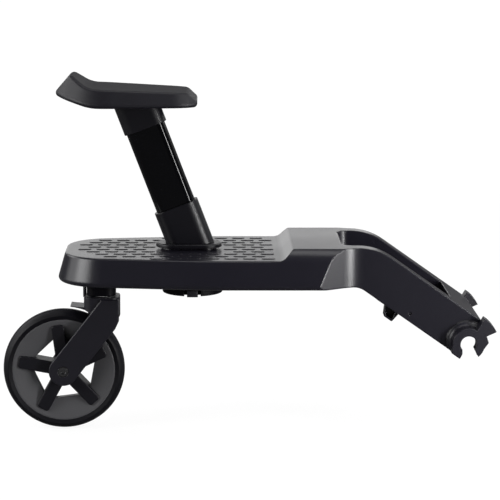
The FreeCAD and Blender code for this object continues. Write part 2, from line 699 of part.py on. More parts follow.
def arm_pocket():
    """Open-topped tray between the arm's two rails."""
    floor = POCKET_FLOOR - ARM_BELOW_AXLE
    floor_z = DECK_BOTTOM + POCKET_FLOOR
    end_x, end_z = along_arm(POCKET_STOP, floor)
    top_x, top_z = along_arm(POCKET_STOP, ARM_ABOVE_AXLE + CUT_OVER)
    depth = [
        (POCKET_START_X - CUT_OVER, floor_z, 0.0),
        (arm_line_x(floor, floor_z), floor_z, ARM_BOTTOM_BEND),
        (end_x, end_z, POCKET_FLOOR),
        (top_x, top_z, 0.0),
        (top_x, NECK_TOP + CUT_OVER, 0.0),
        (POCKET_START_X - CUT_OVER, NECK_TOP + CUT_OVER, 0.0),
    ]
    past_x = end_x + ARM_END
    past_half = POCKET_HALF_START - POCKET_TAPER * (past_x - POCKET_START_X) / (end_x - POCKET_START_X)
    plan = both_sides([
        (POCKET_START_X, -POCKET_HALF_START, POCKET_CORNER),
        (past_x, -past_half, 0.0),
    ])
    return side_slab(depth, -FAR, FAR).common(slab(plan, -FAR, FAR))


def rail_cells():
    """Blind cells that lighten each rail from below and leave cross ribs between them."""
    inner = POCKET_HALF_START + RAIL_WALL
    outer = ARM_HALF_WIDTH - RAIL_WALL
    low = -ARM_BELOW_AXLE - CUT_OVER
    high = ARM_ABOVE_AXLE - RAIL_WALL
    pitch = (RAIL_CELL_FROM - RAIL_CELL_TO) / RAIL_CELLS
    cells = []
    for index in range(RAIL_CELLS):
        back = RAIL_CELL_FROM - pitch * index
        front = back - pitch + RIB
        outline = [(back, low, 0.0), (back, high, 0.0), (front, high, 0.0), (front, low, 0.0)]
        cells += [arm_plate(outline, inner, outer), arm_plate(outline, -outer, -inner)]
    return cells


def axle_hood():
    """Open space under the arm's rounded end, where the axle lies, and its way through both rails."""
    low = -ARM_BELOW_AXLE - CUT_OVER
    high = ARM_ABOVE_AXLE - HOOD_WALL
    start = POCKET_STOP - HOOD_WALL
    end = HOOD_WALL - ARM_END
    half = ARM_HALF_WIDTH - HOOD_SIDE
    outline = [
        (start, low, 0.0),
        (start, high, HOOD_WALL),
        (end, high, ARM_END_RADIUS - HOOD_WALL),
        (end, low, 0.0),
    ]
    space = arm_plate(outline, -half, half)
    way = across(AXLE_ROOM, 0, 0, -FAR, FAR)
    drop = box(-AXLE_ROOM, FAR, -FAR, FAR, -FAR, 0)
    return [space, way, drop]


def lugs():
    """Cored stops under each rail."""
    root = OVERRUN - ARM_BELOW_AXLE
    foot = -ARM_BELOW_AXLE - LUG_DROP
    front = LUG_BACK - LUG_LENGTH
    outline = [
        (LUG_BACK, root, 0.0),
        (LUG_BACK - LUG_REAR_SLANT, foot, LUG_CORNER),
        (front + LUG_FRONT_SLANT, foot, LUG_CORNER),
        (front, root, 0.0),
    ]
    roof = -ARM_BELOW_AXLE - LUG_WALL / 2
    core = [
        (LUG_BACK - LUG_WALL, roof, 0.0),
        (LUG_BACK - LUG_REAR_SLANT - LUG_WALL / 2, foot + LUG_WALL, LUG_CORNER),
        (front + LUG_FRONT_SLANT + LUG_WALL / 2, foot + LUG_WALL, LUG_CORNER),
        (front + LUG_WALL * 2, roof, 0.0),
    ]
    made = []
    for side in (-1, 1):
        outer = side * (ARM_HALF_WIDTH - LUG_SETBACK)
        solid = arm_plate(outline, outer, outer - side * LUG_THICKNESS)
        floor = outer - side * (LUG_THICKNESS - LUG_WALL)
        made.append(solid.cut(arm_plate(core, outer + side * OVERRUN, floor)))
    return made


def side_holes():
    x, z = along_arm(SIDE_HOLE_BACK, SIDE_HOLE_RISE - ARM_BELOW_AXLE)
    reach = ARM_HALF_WIDTH - SIDE_HOLE_DEPTH
    return [across(SIDE_HOLE_DIAMETER / 2, x, z, side * reach, side * (reach + FAR)) for side in (-1, 1)]


def clip_screw_places():
    """Places in X and Z of the screws that hold a clip, in the middle of its ring's wall."""
    middle = BORE_RADIUS + CLIP_WALL / 2
    angles = [math.radians(angle) for angle in CLIP_SCREW_ANGLES]
    return [(middle * math.cos(angle), middle * math.sin(angle)) for angle in angles]


def deck_shell():
    body = joined([rounded_deck(), neck_and_arm()]).common(slab(waist_plan(), -FAR, FAR))
    recess = slab(drawn_in(foot_corners(), COVER_EDGE), DECK_BOTTOM - CUT_OVER, COVER_TOP)
    body = body.cut([hollow(), recess, arm_pocket()] + rail_cells() + axle_hood() + side_holes())
    lip = slab(flange_plan(FLANGE_OVERHANG), DECK_TOP - OVERRUN, FLANGE_FOOT)
    body = joined([body, lip] + lugs())
    thread = SCREW_SHANK / 2 + SCREW_FIT
    holes = [upright(thread, x, y, COVER_TOP, COVER_TOP + SCREW_BITE + CUT_OVER / 2)
             for x, y in cover_screw_places() + lock_screw_places()]
    holes += [upright(thread, x, y, COVER_TOP, COVER_TOP + SWIVEL_FLANGE + SCREW_BITE + CUT_OVER / 2)
              for x, y in swivel_screw_places()]
    holes += [across(thread, x, z, -CLIP_END, CLIP_END) for x, z in clip_screw_places()]
    return body.cut(holes + [spigot_bar(FIT)])


def underside_cover():
    plate = slab(drawn_in(foot_corners(), COVER_EDGE + FIT), DECK_BOTTOM, COVER_TOP)
    size = SWIVEL_BOSS + 2 * FIT
    swivel = slab(rectangle(size, size, SWIVEL_BOSS_CORNER + FIT, SWIVEL_X),
                  DECK_BOTTOM - CUT_OVER, COVER_TOP + CUT_OVER)
    reach = TONGUE_WIDTH / 2 + WINDOW_MARGIN
    side = (TONGUE_DEPTH + BUTTON_TRAVEL) / 2 + WINDOW_MARGIN
    lock = box(TONGUE_X - reach, TONGUE_X + reach, -side, side, DECK_BOTTOM - CUT_OVER, COVER_TOP + CUT_OVER)
    rooms = [screw_room(x, y, DECK_BOTTOM, COVER_TOP + CUT_OVER) for x, y in cover_screw_places()]
    rooms += [upright(SCREW_SHANK / 2 + SCREW_FIT, x, y, DECK_BOTTOM - CUT_OVER, COVER_TOP + CUT_OVER)
              for x, y in lock_screw_places()]
    return plate.cut([swivel, lock] + rooms)


def cover_screws():
    return screw_group(cover_screw_places(), DECK_BOTTOM, COVER_TOP + SCREW_BITE)


# Axle clips


def axle_clip(side):
    """Open ring with a snap mouth, a jaw, a lip and a sector tooth, on one side of the arm."""
    inner = side * ARM_HALF_WIDTH
    outer = side * CLIP_END
    past_inner = inner - side * OVERRUN
    past_outer = outer + side * OVERRUN
    mouth = CLIP_MOUTH / 2
    ring = across(CLIP_OUTER, 0, 0, inner, outer)
    jaw = side_slab([
        (0.0, 0.0, 0.0),
        (mouth, -BORE_RADIUS, 0.0),
        (JAW_TIP_X, -JAW_DROP, JAW_TIP_ROUND),
        (JAW_REACH, JAW_CORNER_Z, JAW_CORNER_ROUND),
        (JAW_REACH - JAW_SLANT, JAW_TOP, 0.0),
        (0.0, CLIP_OUTER - OVERRUN, 0.0),
    ], inner, outer)
    arm_foot_z = lambda x: -ARM_BELOW_AXLE / math.cos(SLOPE) - x * math.tan(SLOPE)
    lip_z = arm_foot_z(-LIP_X)
    lip_root = -CLIP_OUTER - OVERRUN
    lip = side_slab([
        (0.0, 0.0, 0.0),
        (-CLIP_OUTER, 0.0, 0.0),
        (lip_root, arm_foot_z(lip_root), 0.0),
        (-LIP_X, lip_z, JAW_TIP_ROUND),
        (-mouth, -LIP_SHOULDER, 0.0),
    ], inner, outer)
    start = math.radians(TOOTH_FROM)
    end = math.radians(TOOTH_TO)
    middle = (start + end) / 2
    on_tip = lambda angle: V(TOOTH_RADIUS * math.cos(angle), inner, TOOTH_RADIUS * math.sin(angle))
    tooth = Part.Face(Part.Wire([
        Part.LineSegment(V(0, inner, 0), on_tip(start)).toShape(),
        Part.Arc(on_tip(start), on_tip(middle), on_tip(end)).toShape(),
        Part.LineSegment(on_tip(end), V(0, inner, 0)).toShape(),
    ])).extrude(V(0, outer - inner, 0))
    cove_foot = V(CLIP_OUTER + CLIP_COVE, inner, 0)
    cove_head = V(CLIP_OUTER, inner + side * CLIP_COVE, 0)
    depth = CLIP_COVE * (1 - math.sqrt(0.5))
    hollow_point = V(CLIP_OUTER + depth, inner + side * depth, 0)
    cove = Part.Face(Part.Wire([
        Part.LineSegment(V(0, inner, 0), cove_foot).toShape(),
        Part.Arc(cove_foot, hollow_point, cove_head).toShape(),
        Part.LineSegment(cove_head, V(0, cove_head.y, 0)).toShape(),
        Part.LineSegment(V(0, cove_head.y, 0), V(0, inner, 0)).toShape(),
    ])).revolve(V(0, 0, 0), ALONG_Y, 360)
    cove = cove.common(side_slab(neck_profile(), -FAR, FAR))
    body = joined([ring, jaw, lip, tooth, cove])
    room = side_slab([
        (-mouth, 0.0, 0.0),
        (-mouth, -LIP_SHOULDER, 0.0),
        (-LIP_X, lip_z, 0.0),
        (-LIP_X, -FAR, 0.0),
        (JAW_TIP_X, -FAR, 0.0),
        (JAW_TIP_X, -JAW_DROP, 0.0),
        (mouth, -math.sqrt(BORE_RADIUS ** 2 - mouth ** 2), 0.0),
        (mouth, 0.0, 0.0),
    ], past_inner, past_outer)
    bore = across(BORE_RADIUS, 0, 0, past_inner, past_outer)
    tip = outer - side * CLIP_SCREW_COVER
    holes = [across(SCREW_SHANK / 2 + SCREW_FIT, x, z, past_inner, tip) for x, z in clip_screw_places()]
    return body.cut([room, bore] + holes)


def clip_screws():
    """Pan-head screws from inside the hood, through the rail, into the clip."""
    made = []
    for side in (-1, 1):
        seat = side * (ARM_HALF_WIDTH - HOOD_SIDE)
        tip = side * (CLIP_END - CLIP_SCREW_COVER - OVERRUN)
        for x, z in clip_screw_places():
            head = across(SCREW_HEAD / 2, x, z, seat - side * SCREW_HEAD_HEIGHT, seat)
            made.append(joined([head, across(SCREW_SHANK / 2, x, z, seat, tip)]))
    return Part.makeCompound(made)


# Caster


def on_swivel(radius, low, high):
    """Round bar about the swivel's axis."""
    return upright(radius, SWIVEL_X, 0, low, high)


def on_axle(radius, near, far):
    """Round bar about the wheel's axle."""
    return across(radius, WHEEL_X, WHEEL_Z, near, far)


def swivel_housing():
    boss_plan = rectangle(SWIVEL_BOSS, SWIVEL_BOSS, SWIVEL_BOSS_CORNER, SWIVEL_X)
    flange_plan = rectangle(SWIVEL_FLANGE_SIZE, SWIVEL_FLANGE_SIZE, SWIVEL_BOSS_CORNER, SWIVEL_X)
    flange_top = COVER_TOP + SWIVEL_FLANGE
    boss = slab(boss_plan, SWIVEL_BOSS_BOTTOM, COVER_TOP)
    flange = slab(flange_plan, COVER_TOP, flange_top)
    barrel = on_swivel(BUSH_OUTER / 2 + BUSH_SEAT_WALL, COVER_TOP, SWIVEL_BARREL_TOP)
    bore = on_swivel(STEM_DIAMETER / 2 + STEM_ROOM, -FAR, FAR)
    seats = [
        on_swivel(BUSH_OUTER / 2, SWIVEL_BOSS_BOTTOM - CUT_OVER, SWIVEL_BOSS_BOTTOM + BUSH_LENGTH),
        on_swivel(BUSH_OUTER / 2, SWIVEL_BARREL_TOP - BUSH_LENGTH, SWIVEL_BARREL_TOP + CUT_OVER),
    ]
    rooms = [screw_room(x, y, COVER_TOP, flange_top + CUT_OVER) for x, y in swivel_screw_places()]
    return joined([boss, flange, barrel]).cut([bore] + seats + rooms)


def swivel_screws():
    return screw_group(swivel_screw_places(), COVER_TOP, COVER_TOP + SWIVEL_FLANGE + SCREW_BITE)


def bush(face, into):
    """Flanged plain bearing: its flange lies on a face and its sleeve runs into the housing."""
    flange = rod(BUSH_OUTER / 2 + BUSH_FLANGE * 2, face, face - into * BUSH_FLANGE)
    sleeve = rod(BUSH_OUTER / 2, face - into * BUSH_FLANGE, face + into * BUSH_LENGTH)
    bore = rod(STEM_DIAMETER / 2 + RUNNING_FIT, face - into * CUT_OVER, face + into * FAR)
    return joined([flange, sleeve]).cut(bore)


def lower_bush():
    return bush(V(SWIVEL_X, 0, SWIVEL_BOSS_BOTTOM), UP)


def upper_bush():
    return bush(V(SWIVEL_X, 0, SWIVEL_BARREL_TOP), UP * -1)


def swivel_stem():
    top = RETAINER_Z + RETAINER
    groove = on_swivel(STEM_DIAMETER / 2 + OVERRUN, RETAINER_Z, top)
    groove = groove.cut(on_swivel(STEM_GROOVE_RADIUS, RETAINER_Z, top))
    return on_swivel(STEM_DIAMETER / 2, STEM_BOTTOM, STEM_TOP).cut(groove)


def stem_retainer():
    """Open snap ring in the stem's groove, above the upper bush."""
    top = RETAINER_Z + RETAINER
    ring = on_swivel(STEM_GROOVE_RADIUS + RETAINER_WIDTH, RETAINER_Z, top)
    hole = on_swivel(STEM_GROOVE_RADIUS, RETAINER_Z - OVERRUN, top + OVERRUN)
    half = RETAINER_GAP / 2
    gap = box(SWIVEL_X, SWIVEL_X + FAR, -half, half, RETAINER_Z - OVERRUN, top + OVERRUN)
    return ring.cut([hole, gap])


def leg_point(along, left):
    """Point in X and Z from distances along the fork's leg and to its upper side, from the axle."""
    slope = math.radians(FORK_LEG_SLOPE)
    x = WHEEL_X + along * math.cos(slope) - left * math.sin(slope)
    z = WHEEL_Z + along * math.sin(slope) + left * math.cos(slope)
    return x, z


def leg_line_x(left, z):
    """X at which a line along the leg, at a distance to its upper side, reaches a height."""
    slope = math.radians(FORK_LEG_SLOPE)
    along = (z - WHEEL_Z - left * math.cos(slope)) / math.sin(slope)
    return leg_point(along, left)[0]


def caster_fork():
    half = FORK_LEG_WIDTH / 2
    right = SWIVEL_X + FORK_HEAD_SIZE / 2 + FORK_HEAD_SHIFT
    left = right - FORK_HEAD_SIZE
    chin_z = FORK_SHOULDER_Z - FORK_CHIN
    leg_top = FORK_HEAD_TOP - FORK_LEG_STEP
    leg = [
        leg_point(-half, half) + (half * ALMOST,),
        leg_point(-half, -half) + (half * ALMOST,),
        (leg_line_x(-half, chin_z), chin_z, FORK_LEG_CORNER),
        (right, FORK_SHOULDER_Z, FORK_LEG_CORNER),
        (right, leg_top, FORK_LEG_CORNER),
        (leg_line_x(half, leg_top), leg_top, FORK_LEG_CORNER),
    ]
    outer = FORK_GAP_HALF + FORK_LEG
    legs = []
    for side in (-1, 1):
        plate = side_slab(leg, side * FORK_GAP_HALF, side * outer)
        legs.append(fillet_where(plate, FORK_EDGE_ROUND, at_side(side * outer)))
    plan = rectangle(FORK_HEAD_SIZE, 2 * FORK_HEAD_HALF_DEPTH, FORK_HEAD_CORNER, (left + right) / 2)
    head = slab(plan, FORK_SHOULDER_Z + FORK_HEAD_LIFT, FORK_HEAD_TOP)
    tail = side_slab([
        (left - TAIL_REACH, FORK_HEAD_TOP - TAIL_TIP, 0.0),
        (left + FORK_HEAD_CORNER, FORK_HEAD_TOP - TAIL_ROOT, 0.0),
        (left + FORK_HEAD_CORNER, chin_z, 0.0),
        (left - TAIL_HEEL, FORK_HEAD_TOP - TAIL_HEEL_DROP, 0.0),
    ], -TAIL_HALF_WIDTH, TAIL_HALF_WIDTH)
    room = on_axle(CROWN_RADIUS, -FAR, FAR)
    body = joined([joined([head, tail]).cut(room)] + legs)
    guard_top = FORK_HEAD_TOP + GUARD_HEIGHT
    guard = on_swivel(GUARD_INNER + GUARD_WALL, FORK_HEAD_TOP - OVERRUN, guard_top)
    guard = guard.cut(on_swivel(GUARD_INNER, -FAR, FAR))
    behind = SWIVEL_X - FORK_HEAD_SIZE
    reach = FORK_HEAD_SIZE * math.tan(math.radians(GUARD_SWEEP / 2))
    wedge = [(SWIVEL_X, 0.0, 0.0), (behind, reach, 0.0), (behind, -reach, 0.0)]
    guard = guard.common(slab(wedge, FORK_HEAD_TOP - CUT_OVER, guard_top + CUT_OVER))
    head_room = BOLT_HEAD_DIAMETER / 2 + FIT
    cuts = [
        on_swivel(STEM_DIAMETER / 2, STEM_BOTTOM, FORK_HEAD_TOP + CUT_OVER),
        on_axle(AXLE_BOLT / 2 + RUNNING_FIT, -FAR, FAR),
        on_axle(head_room, -outer - CUT_OVER, -outer + BOLT_SINK),
        on_axle(head_room, outer - BOLT_SINK, outer + CUT_OVER),
    ]
    return joined([body, guard]).cut(cuts)


def hexagon(size, x, z):
    """Corners of a hexagon in X and Z, from its size across flats."""
    radius = size / math.sqrt(3)
    angles = [math.radians(60 * index) for index in range(6)]
    return [(x + radius * math.cos(angle), z + radius * math.sin(angle), 0.0) for angle in angles]


def axle_bolt():
    seat = -FORK_GAP_HALF - FORK_LEG + BOLT_SINK
    head_end = seat - BOLT_HEAD
    head = on_axle(BOLT_HEAD_DIAMETER / 2, head_end, seat)
    head = fillet_where(head, BOLT_HEAD_ROUND, at_side(head_end))
    shank = on_axle(AXLE_BOLT / 2, seat, FORK_GAP_HALF + FORK_LEG - FIT)
    key = side_slab(hexagon(BOLT_KEY, WHEEL_X, WHEEL_Z), head_end - OVERRUN, seat - BOLT_HEAD / 3)
    return joined([head, shank]).cut(key)


def axle_nut():
    seat = FORK_GAP_HALF + FORK_LEG - BOLT_SINK
    body = side_slab(hexagon(NUT_SIZE, WHEEL_X, WHEEL_Z), seat, seat + BOLT_HEAD)
    return body.cut(on_axle(AXLE_BOLT / 2, seat - OVERRUN, seat + BOLT_HEAD + OVERRUN))


def axle_tube(outer, start, end):
    """Plain sleeve on the axle bolt."""
    bore = on_axle(AXLE_BOLT / 2 + RUNNING_FIT, start - OVERRUN, end + OVERRUN)
    return on_axle(outer, start, end).cut(bore)


def bearing_spacer():
    half = HUB_HALF_WIDTH - BEARING_WIDTH - SIDE_PLAY
    return axle_tube(AXLE_SLEEVE / 2, -half, half)


def axle_washers():
    start = HUB_HALF_WIDTH + SIDE_PLAY
    far = axle_tube(AXLE_SLEEVE / 2, start, FORK_GAP_HALF)
    near = axle_tube(AXLE_SLEEVE / 2, -FORK_GAP_HALF, -start)
    return Part.makeCompound([near, far])


def wheel_bearing(side):
    start = side * (HUB_HALF_WIDTH - BEARING_WIDTH)
    end = side * HUB_HALF_WIDTH
    past = end + side * OVERRUN
    seal = end - side * BEARING_SEAL
    ring = on_axle(BEARING_OUTER / 2, start, end)
    bore = on_axle(AXLE_BOLT / 2 + RUNNING_FIT, start - side * OVERRUN, past)
    face = on_axle(BEARING_OUTER / 2 - BEARING_RACE, seal, past)
    face = face.cut(on_axle(AXLE_BOLT / 2 + BEARING_RACE, seal, past))
    return ring.cut([bore, face])


def turned(runs):
    """Solid of revolution about the wheel's axle from runs of two or three (radius, y) points."""
    edges = []
    for run in runs:
        spots = [V(WHEEL_X + radius, y, WHEEL_Z) for radius, y in run]
        curve = Part.Arc(*spots) if len(spots) == 3 else Part.LineSegment(*spots)
        edges.append(curve.toShape())
    return Part.Face(Part.Wire(edges)).revolve(V(WHEEL_X, 0, WHEEL_Z), ALONG_Y, 360)


def straight_runs(points):
    """Closed outline of straight runs through the points."""
    return [[points[index - 1], points[index]] for index in range(len(points))]


def tyre():
    """Solid tyre: round crown, bulging walls and two shallow grooves."""
    seat_half = RIM_HALF_WIDTH - RIM_LIP
    wall_radius = WHEEL_RADIUS - TYRE_CROWN
    near_wall = (wall_radius, -TYRE_HALF_WIDTH)
    far_wall = (wall_radius, TYRE_HALF_WIDTH)
    outline = [
        far_wall,
        (RIM_RADIUS, RIM_HALF_WIDTH),
        (RIM_RADIUS, seat_half),
        (TYRE_SEAT_RADIUS, seat_half),
        (TYRE_SEAT_RADIUS, -seat_half),
        (RIM_RADIUS, -seat_half),
        (RIM_RADIUS, -RIM_HALF_WIDTH),
        near_wall,
    ]
    crown = [near_wall, (WHEEL_RADIUS, 0.0), far_wall]
    body = turned([crown] + straight_runs(outline)[1:])
    top = WHEEL_RADIUS + OVERRUN
    floor = WHEEL_RADIUS - TYRE_GROOVE_DEPTH
    grooves = []
    for side in (-1, 1):
        near = side * TYRE_GROOVE_Y - TYRE_GROOVE_WIDTH / 2
        far = near + TYRE_GROOVE_WIDTH
        grooves.append(turned(straight_runs([(top, near), (floor, near), (floor, far), (top, far)])))
    return body.cut(grooves)


def rim_ring():
    """Rim with its tyre seat, lips and dished web, before the window is cut."""
    seat_half = RIM_HALF_WIDTH - RIM_LIP
    inner = WINDOW_APOTHEM - CUT_OVER
    lip = RIM_RADIUS - RIM_FACE
    return turned(straight_runs([
        (RIM_RADIUS, -RIM_HALF_WIDTH),
        (RIM_RADIUS, -seat_half),
        (TYRE_SEAT_RADIUS, -seat_half),
        (TYRE_SEAT_RADIUS, seat_half),
        (RIM_RADIUS, seat_half),
        (RIM_RADIUS, RIM_HALF_WIDTH),
        (lip, RIM_HALF_WIDTH),
        (inner, RIM_DISH_HALF),
        (inner, -RIM_DISH_HALF),
        (lip, -RIM_HALF_WIDTH),
    ]))


def wheel_turn(angle):
    """Unit vector in the wheel's plane at an angle above +X, as (x, z)."""
    return math.cos(math.radians(angle)), math.sin(math.radians(angle))


def rim():
    radius = WINDOW_APOTHEM / math.cos(math.pi / SPOKES)
    turns = [wheel_turn(SPOKE_ANGLE + 360 / SPOKES * index) for index in range(SPOKES)]
    window = [(WHEEL_X + radius * x, WHEEL_Z + radius * z, WINDOW_CORNER) for x, z in turns]
    return rim_ring().cut(side_slab(window, -FAR, FAR))


def spoke(index, near, far):
    """One bar of a spider, from the hub's centre to its rounded end."""
    x, z = wheel_turn(SPOKE_ANGLE + 360 / SPOKES * index)
    half = SPOKE_WIDTH / 2

    def spot(along, left, radius):
        return WHEEL_X + along * x - left * z, WHEEL_Z + along * z + left * x, radius

    return side_slab([
        spot(0, -half, 0.0),
        spot(SPOKE_REACH, -half, SPOKE_CORNER),
        spot(SPOKE_REACH, half, SPOKE_CORNER),
        spot(0, half, 0.0),
    ], near, far)


def wheel_spider(side):
    """Five-spoke star with one half of the hub, seated on the rim's dish."""
    face = side * SPIDER_HALF_WIDTH
    end = side * HUB_HALF_WIDTH
    bars = [spoke(index, 0.0, face) for index in range(SPOKES)]
    star = joined(bars + [on_axle(HUB_RADIUS, 0.0, face)])
    star = fillet_where(star, SPOKE_EDGE_ROUND, at_side(face))
    star = joined([star, on_axle(HUB_RADIUS - SPOKE_EDGE_ROUND, 0.0, end)]).cut(rim())
    bore = on_axle(AXLE_SLEEVE / 2 + HUB_GAP, -side * OVERRUN, end)
    seat = on_axle(BEARING_OUTER / 2, end - side * BEARING_WIDTH, side * FAR)
    return star.cut([bore, seat])


# Seat and its post


def seat_plan():
    """Outline of the saddle's foot, with well-rounded ends."""
    return both_sides([
        (SEAT_REAR_X - SEAT_PLAN_EDGE, -SEAT_HALF_REAR, SEAT_CORNER_REAR),
        (SEAT_FRONT_X + SEAT_PLAN_EDGE, -SEAT_HALF_FRONT, SEAT_CORNER_FRONT),
    ])


def seat_form():
    """Saddle with a raised rear lip: its side outline met with leaning walls, its ridges rounded."""
    side = [
        (SEAT_REAR_X + SEAT_REAR_RUN, SEAT_BOTTOM, SEAT_REAR_SWEEP),
        (SEAT_FRONT_X, SEAT_BOTTOM, SEAT_FRONT_FOOT),
        (SEAT_FRONT_X - SEAT_FRONT_SLANT, SEAT_BOTTOM + SEAT_RISE_FRONT, SEAT_FRONT_HEAD),
        (SEAT_REAR_X + SEAT_VALLEY_RUN, SEAT_BOTTOM + SEAT_RISE_REAR, SEAT_VALLEY),
        (SEAT_REAR_X + SEAT_LIP_RUN, SEAT_BOTTOM + SEAT_LIP_RISE, SEAT_LIP_ROUND),
        (SEAT_REAR_X, SEAT_BOTTOM + SEAT_REAR_RISE, SEAT_TAIL_ROUND),
    ]
    foot = SEAT_BOTTOM - OVERRUN
    head = SEAT_BOTTOM + SEAT_LIP_RISE + CUT_OVER
    head_plan = drawn_in(seat_plan(), SEAT_SIDE_LEAN * (head - foot))
    outlines = [rounded_wire(seat_plan(), in_plan(foot)), rounded_wire(head_plan, in_plan(head))]
    form = side_slab(side, -FAR, FAR).common(Part.makeLoft(outlines, True, True))

    def ridge(edge):
        size = edge.BoundBox
        level = size.ZLength < SEAT_EDGE_ROUND
        straight_across = size.XLength + size.ZLength < SAME
        seam = edge.Curve.TypeId in ("Part::GeomBezierCurve", "Part::GeomLine") and not level
        return not straight_across and not seam

    return fillet_where(form, SEAT_EDGE_ROUND, ridge)


def seat_base_corners():
    return drawn_in(both_sides([
        (SEAT_REAR_X + SEAT_REAR_RUN, -SEAT_HALF_FRONT, SEAT_CORNER_FRONT),
        (SEAT_FRONT_X, -SEAT_HALF_FRONT, SEAT_CORNER_FRONT),
    ]), SEAT_BASE_INSET)


def seat_screw_places():
    rear = SEAT_REAR_X + SEAT_REAR_RUN + SEAT_BASE_INSET + SEAT_SCREW_EDGE
    front = SEAT_FRONT_X - SEAT_BASE_INSET - SEAT_SCREW_EDGE
    y = SEAT_HALF_FRONT - SEAT_BASE_INSET - SEAT_SCREW_EDGE
    return [(x, side * y) for x in (rear, front) for side in (-1, 1)]


def seat_shell():
    recess = slab(drawn_in(seat_base_corners(), -FIT), SEAT_BOTTOM - CUT_OVER, SEAT_BOTTOM + SEAT_BASE)
    thread = SCREW_SHANK / 2 + SCREW_FIT
    tip = SEAT_BOTTOM + SEAT_BASE + SCREW_BITE + OVERRUN
    holes = [upright(thread, x, y, SEAT_BOTTOM, tip) for x, y in seat_screw_places()]
    return seat_form().cut([recess] + holes)


def seat_base():
    top = SEAT_BOTTOM + SEAT_BASE
    rooms = [screw_room(x, y, SEAT_BOTTOM, top + CUT_OVER) for x, y in seat_screw_places()]
    return slab(seat_base_corners(), SEAT_BOTTOM, top).cut(rooms)


def seat_screws():
    return screw_group(seat_screw_places(), SEAT_BOTTOM, SEAT_BOTTOM + SEAT_BASE + SCREW_BITE)


def post_end():
    """Length along the post that is sure to pass the seat's underside."""
    return SEAT_HEIGHT / math.cos(LEAN) + POST_WIDTH


def seat_post():
    low = -POST_WIDTH
    high = post_end()
    bar = post_bar(0.0, low, high).cut(post_bar(-POST_WALL, low - OVERRUN, high + OVERRUN))
    return bar.cut([below(FLANGE_TOP), above(SEAT_BOTTOM)])


def collar(wall, low, high):
    return post_bar(wall, low, high).cut(post_bar(SPIGOT_FIT, low - OVERRUN, high + OVERRUN))


def lower_collar():
    return collar(LOWER_COLLAR_WALL, -POST_WIDTH, LOWER_COLLAR_TOP).cut(below(FLANGE_TOP))


def upper_collar():
    return collar(UPPER_COLLAR_WALL, UPPER_COLLAR_FOOT, post_end()).cut(above(SEAT_BOTTOM))


def base_flange():
    plate = slab(flange_plan(0.0), FLANGE_FOOT, FLANGE_TOP)
    plate = fillet_where(plate, FLANGE_ROUND, at_height(FLANGE_TOP))
    return plate.cut(spigot_bar(SPIGOT_FIT))


def post_spigot():
    bar = spigot_bar(0.0).cut(below(SPIGOT_END))
    slot = post_frame(slab(rectangle(SPIGOT_SLOT, FAR, 0.0), -FAR, -SPIGOT_SLOT_TOP))
    return bar.cut(slot)


# Seat lock under the deck


def seat_socket():
    sleeve = post_bar(SOCKET_WALL, -FAR / 2, CUT_OVER).cut(spigot_bar(FIT))
    return sleeve.cut([below(COVER_TOP), above(SKIN_UNDERSIDE)])


def lock_housing():
    radius = LOCK_DIAMETER / 2
    body = upright(radius, POST_FOOT_X, 0, LOCK_BOTTOM, DECK_BOTTOM)
    body = fillet_where(body, LOCK_ROUND, at_height(LOCK_BOTTOM))
    floor = LOCK_BOTTOM + LOCK_WALL
    body = body.cut(upright(radius - LOCK_WALL, POST_FOOT_X, 0, floor, DECK_BOTTOM + CUT_OVER))
    posts = [upright(BOSS_DIAMETER / 2, x, y, floor, DECK_BOTTOM) for x, y in lock_screw_places()]
    guide = BUTTON_WIDTH / 2 + FIT
    rail_top = floor + BUTTON_PLATE + FIT
    rails = [box(x, x + RIB, -GUIDE_LENGTH / 2, GUIDE_LENGTH / 2, floor, rail_top)
             for x in (POST_FOOT_X - guide - RIB, POST_FOOT_X + guide)]
    stop = box(POST_FOOT_X - guide - RIB, POST_FOOT_X + guide + RIB, SPRING_SEAT_Y, SPRING_SEAT_Y + RIB,
               floor, floor + 2 * SPRING_RADIUS + RIB)
    body = joined([body, stop] + posts + rails)
    half_gap = BUTTON_WIDTH / 2 + BUTTON_SLIT
    notch = box(POST_FOOT_X - half_gap, POST_FOOT_X + half_gap, -radius - OVERRUN, -radius + NOTCH_DEPTH,
                LOCK_BOTTOM - OVERRUN, floor + BUTTON_PLATE + BUTTON_SLIT)
    rooms = [screw_room(x, y, LOCK_BOTTOM, DECK_BOTTOM + CUT_OVER) for x, y in lock_screw_places()]
    return body.cut([notch] + rooms)


def lock_screws():
    return screw_group(lock_screw_places(), LOCK_BOTTOM, COVER_TOP + SCREW_BITE)


def release_button():
    """Tab in the housing's notch, with the plate that slides between the guides and its tongue."""
    radius = LOCK_DIAMETER / 2
    left = POST_FOOT_X - BUTTON_WIDTH / 2
    right = POST_FOOT_X + BUTTON_WIDTH / 2
    low = LOCK_BOTTOM + LOCK_WALL + FIT / 2
    high = low + BUTTON_PLATE
    shelf = high + BUTTON_STEP
    near = -(TONGUE_DEPTH + BUTTON_TRAVEL) / 2
    far = near + TONGUE_DEPTH
    tongue_left = TONGUE_X - TONGUE_WIDTH / 2
    tongue_right = TONGUE_X + TONGUE_WIDTH / 2
    plate = box(left, right, -radius, PLATE_END_Y, low, high)
    tab = box(left, right, -radius, -radius + BUTTON_TAB, LOCK_BOTTOM - BUTTON_DROP, high)
    slider = joined([plate, tab]).common(upright(radius, POST_FOOT_X, 0, -FAR, FAR))
    riser = box(left, right, near, far, low, shelf + BUTTON_PLATE)
    bridge = box(left, tongue_right, near, far, shelf, shelf + BUTTON_PLATE)
    tongue = box(tongue_left, tongue_right, near, far, shelf, SPIGOT_END + TONGUE_RISE)
    return joined([slider, riser, bridge, tongue])


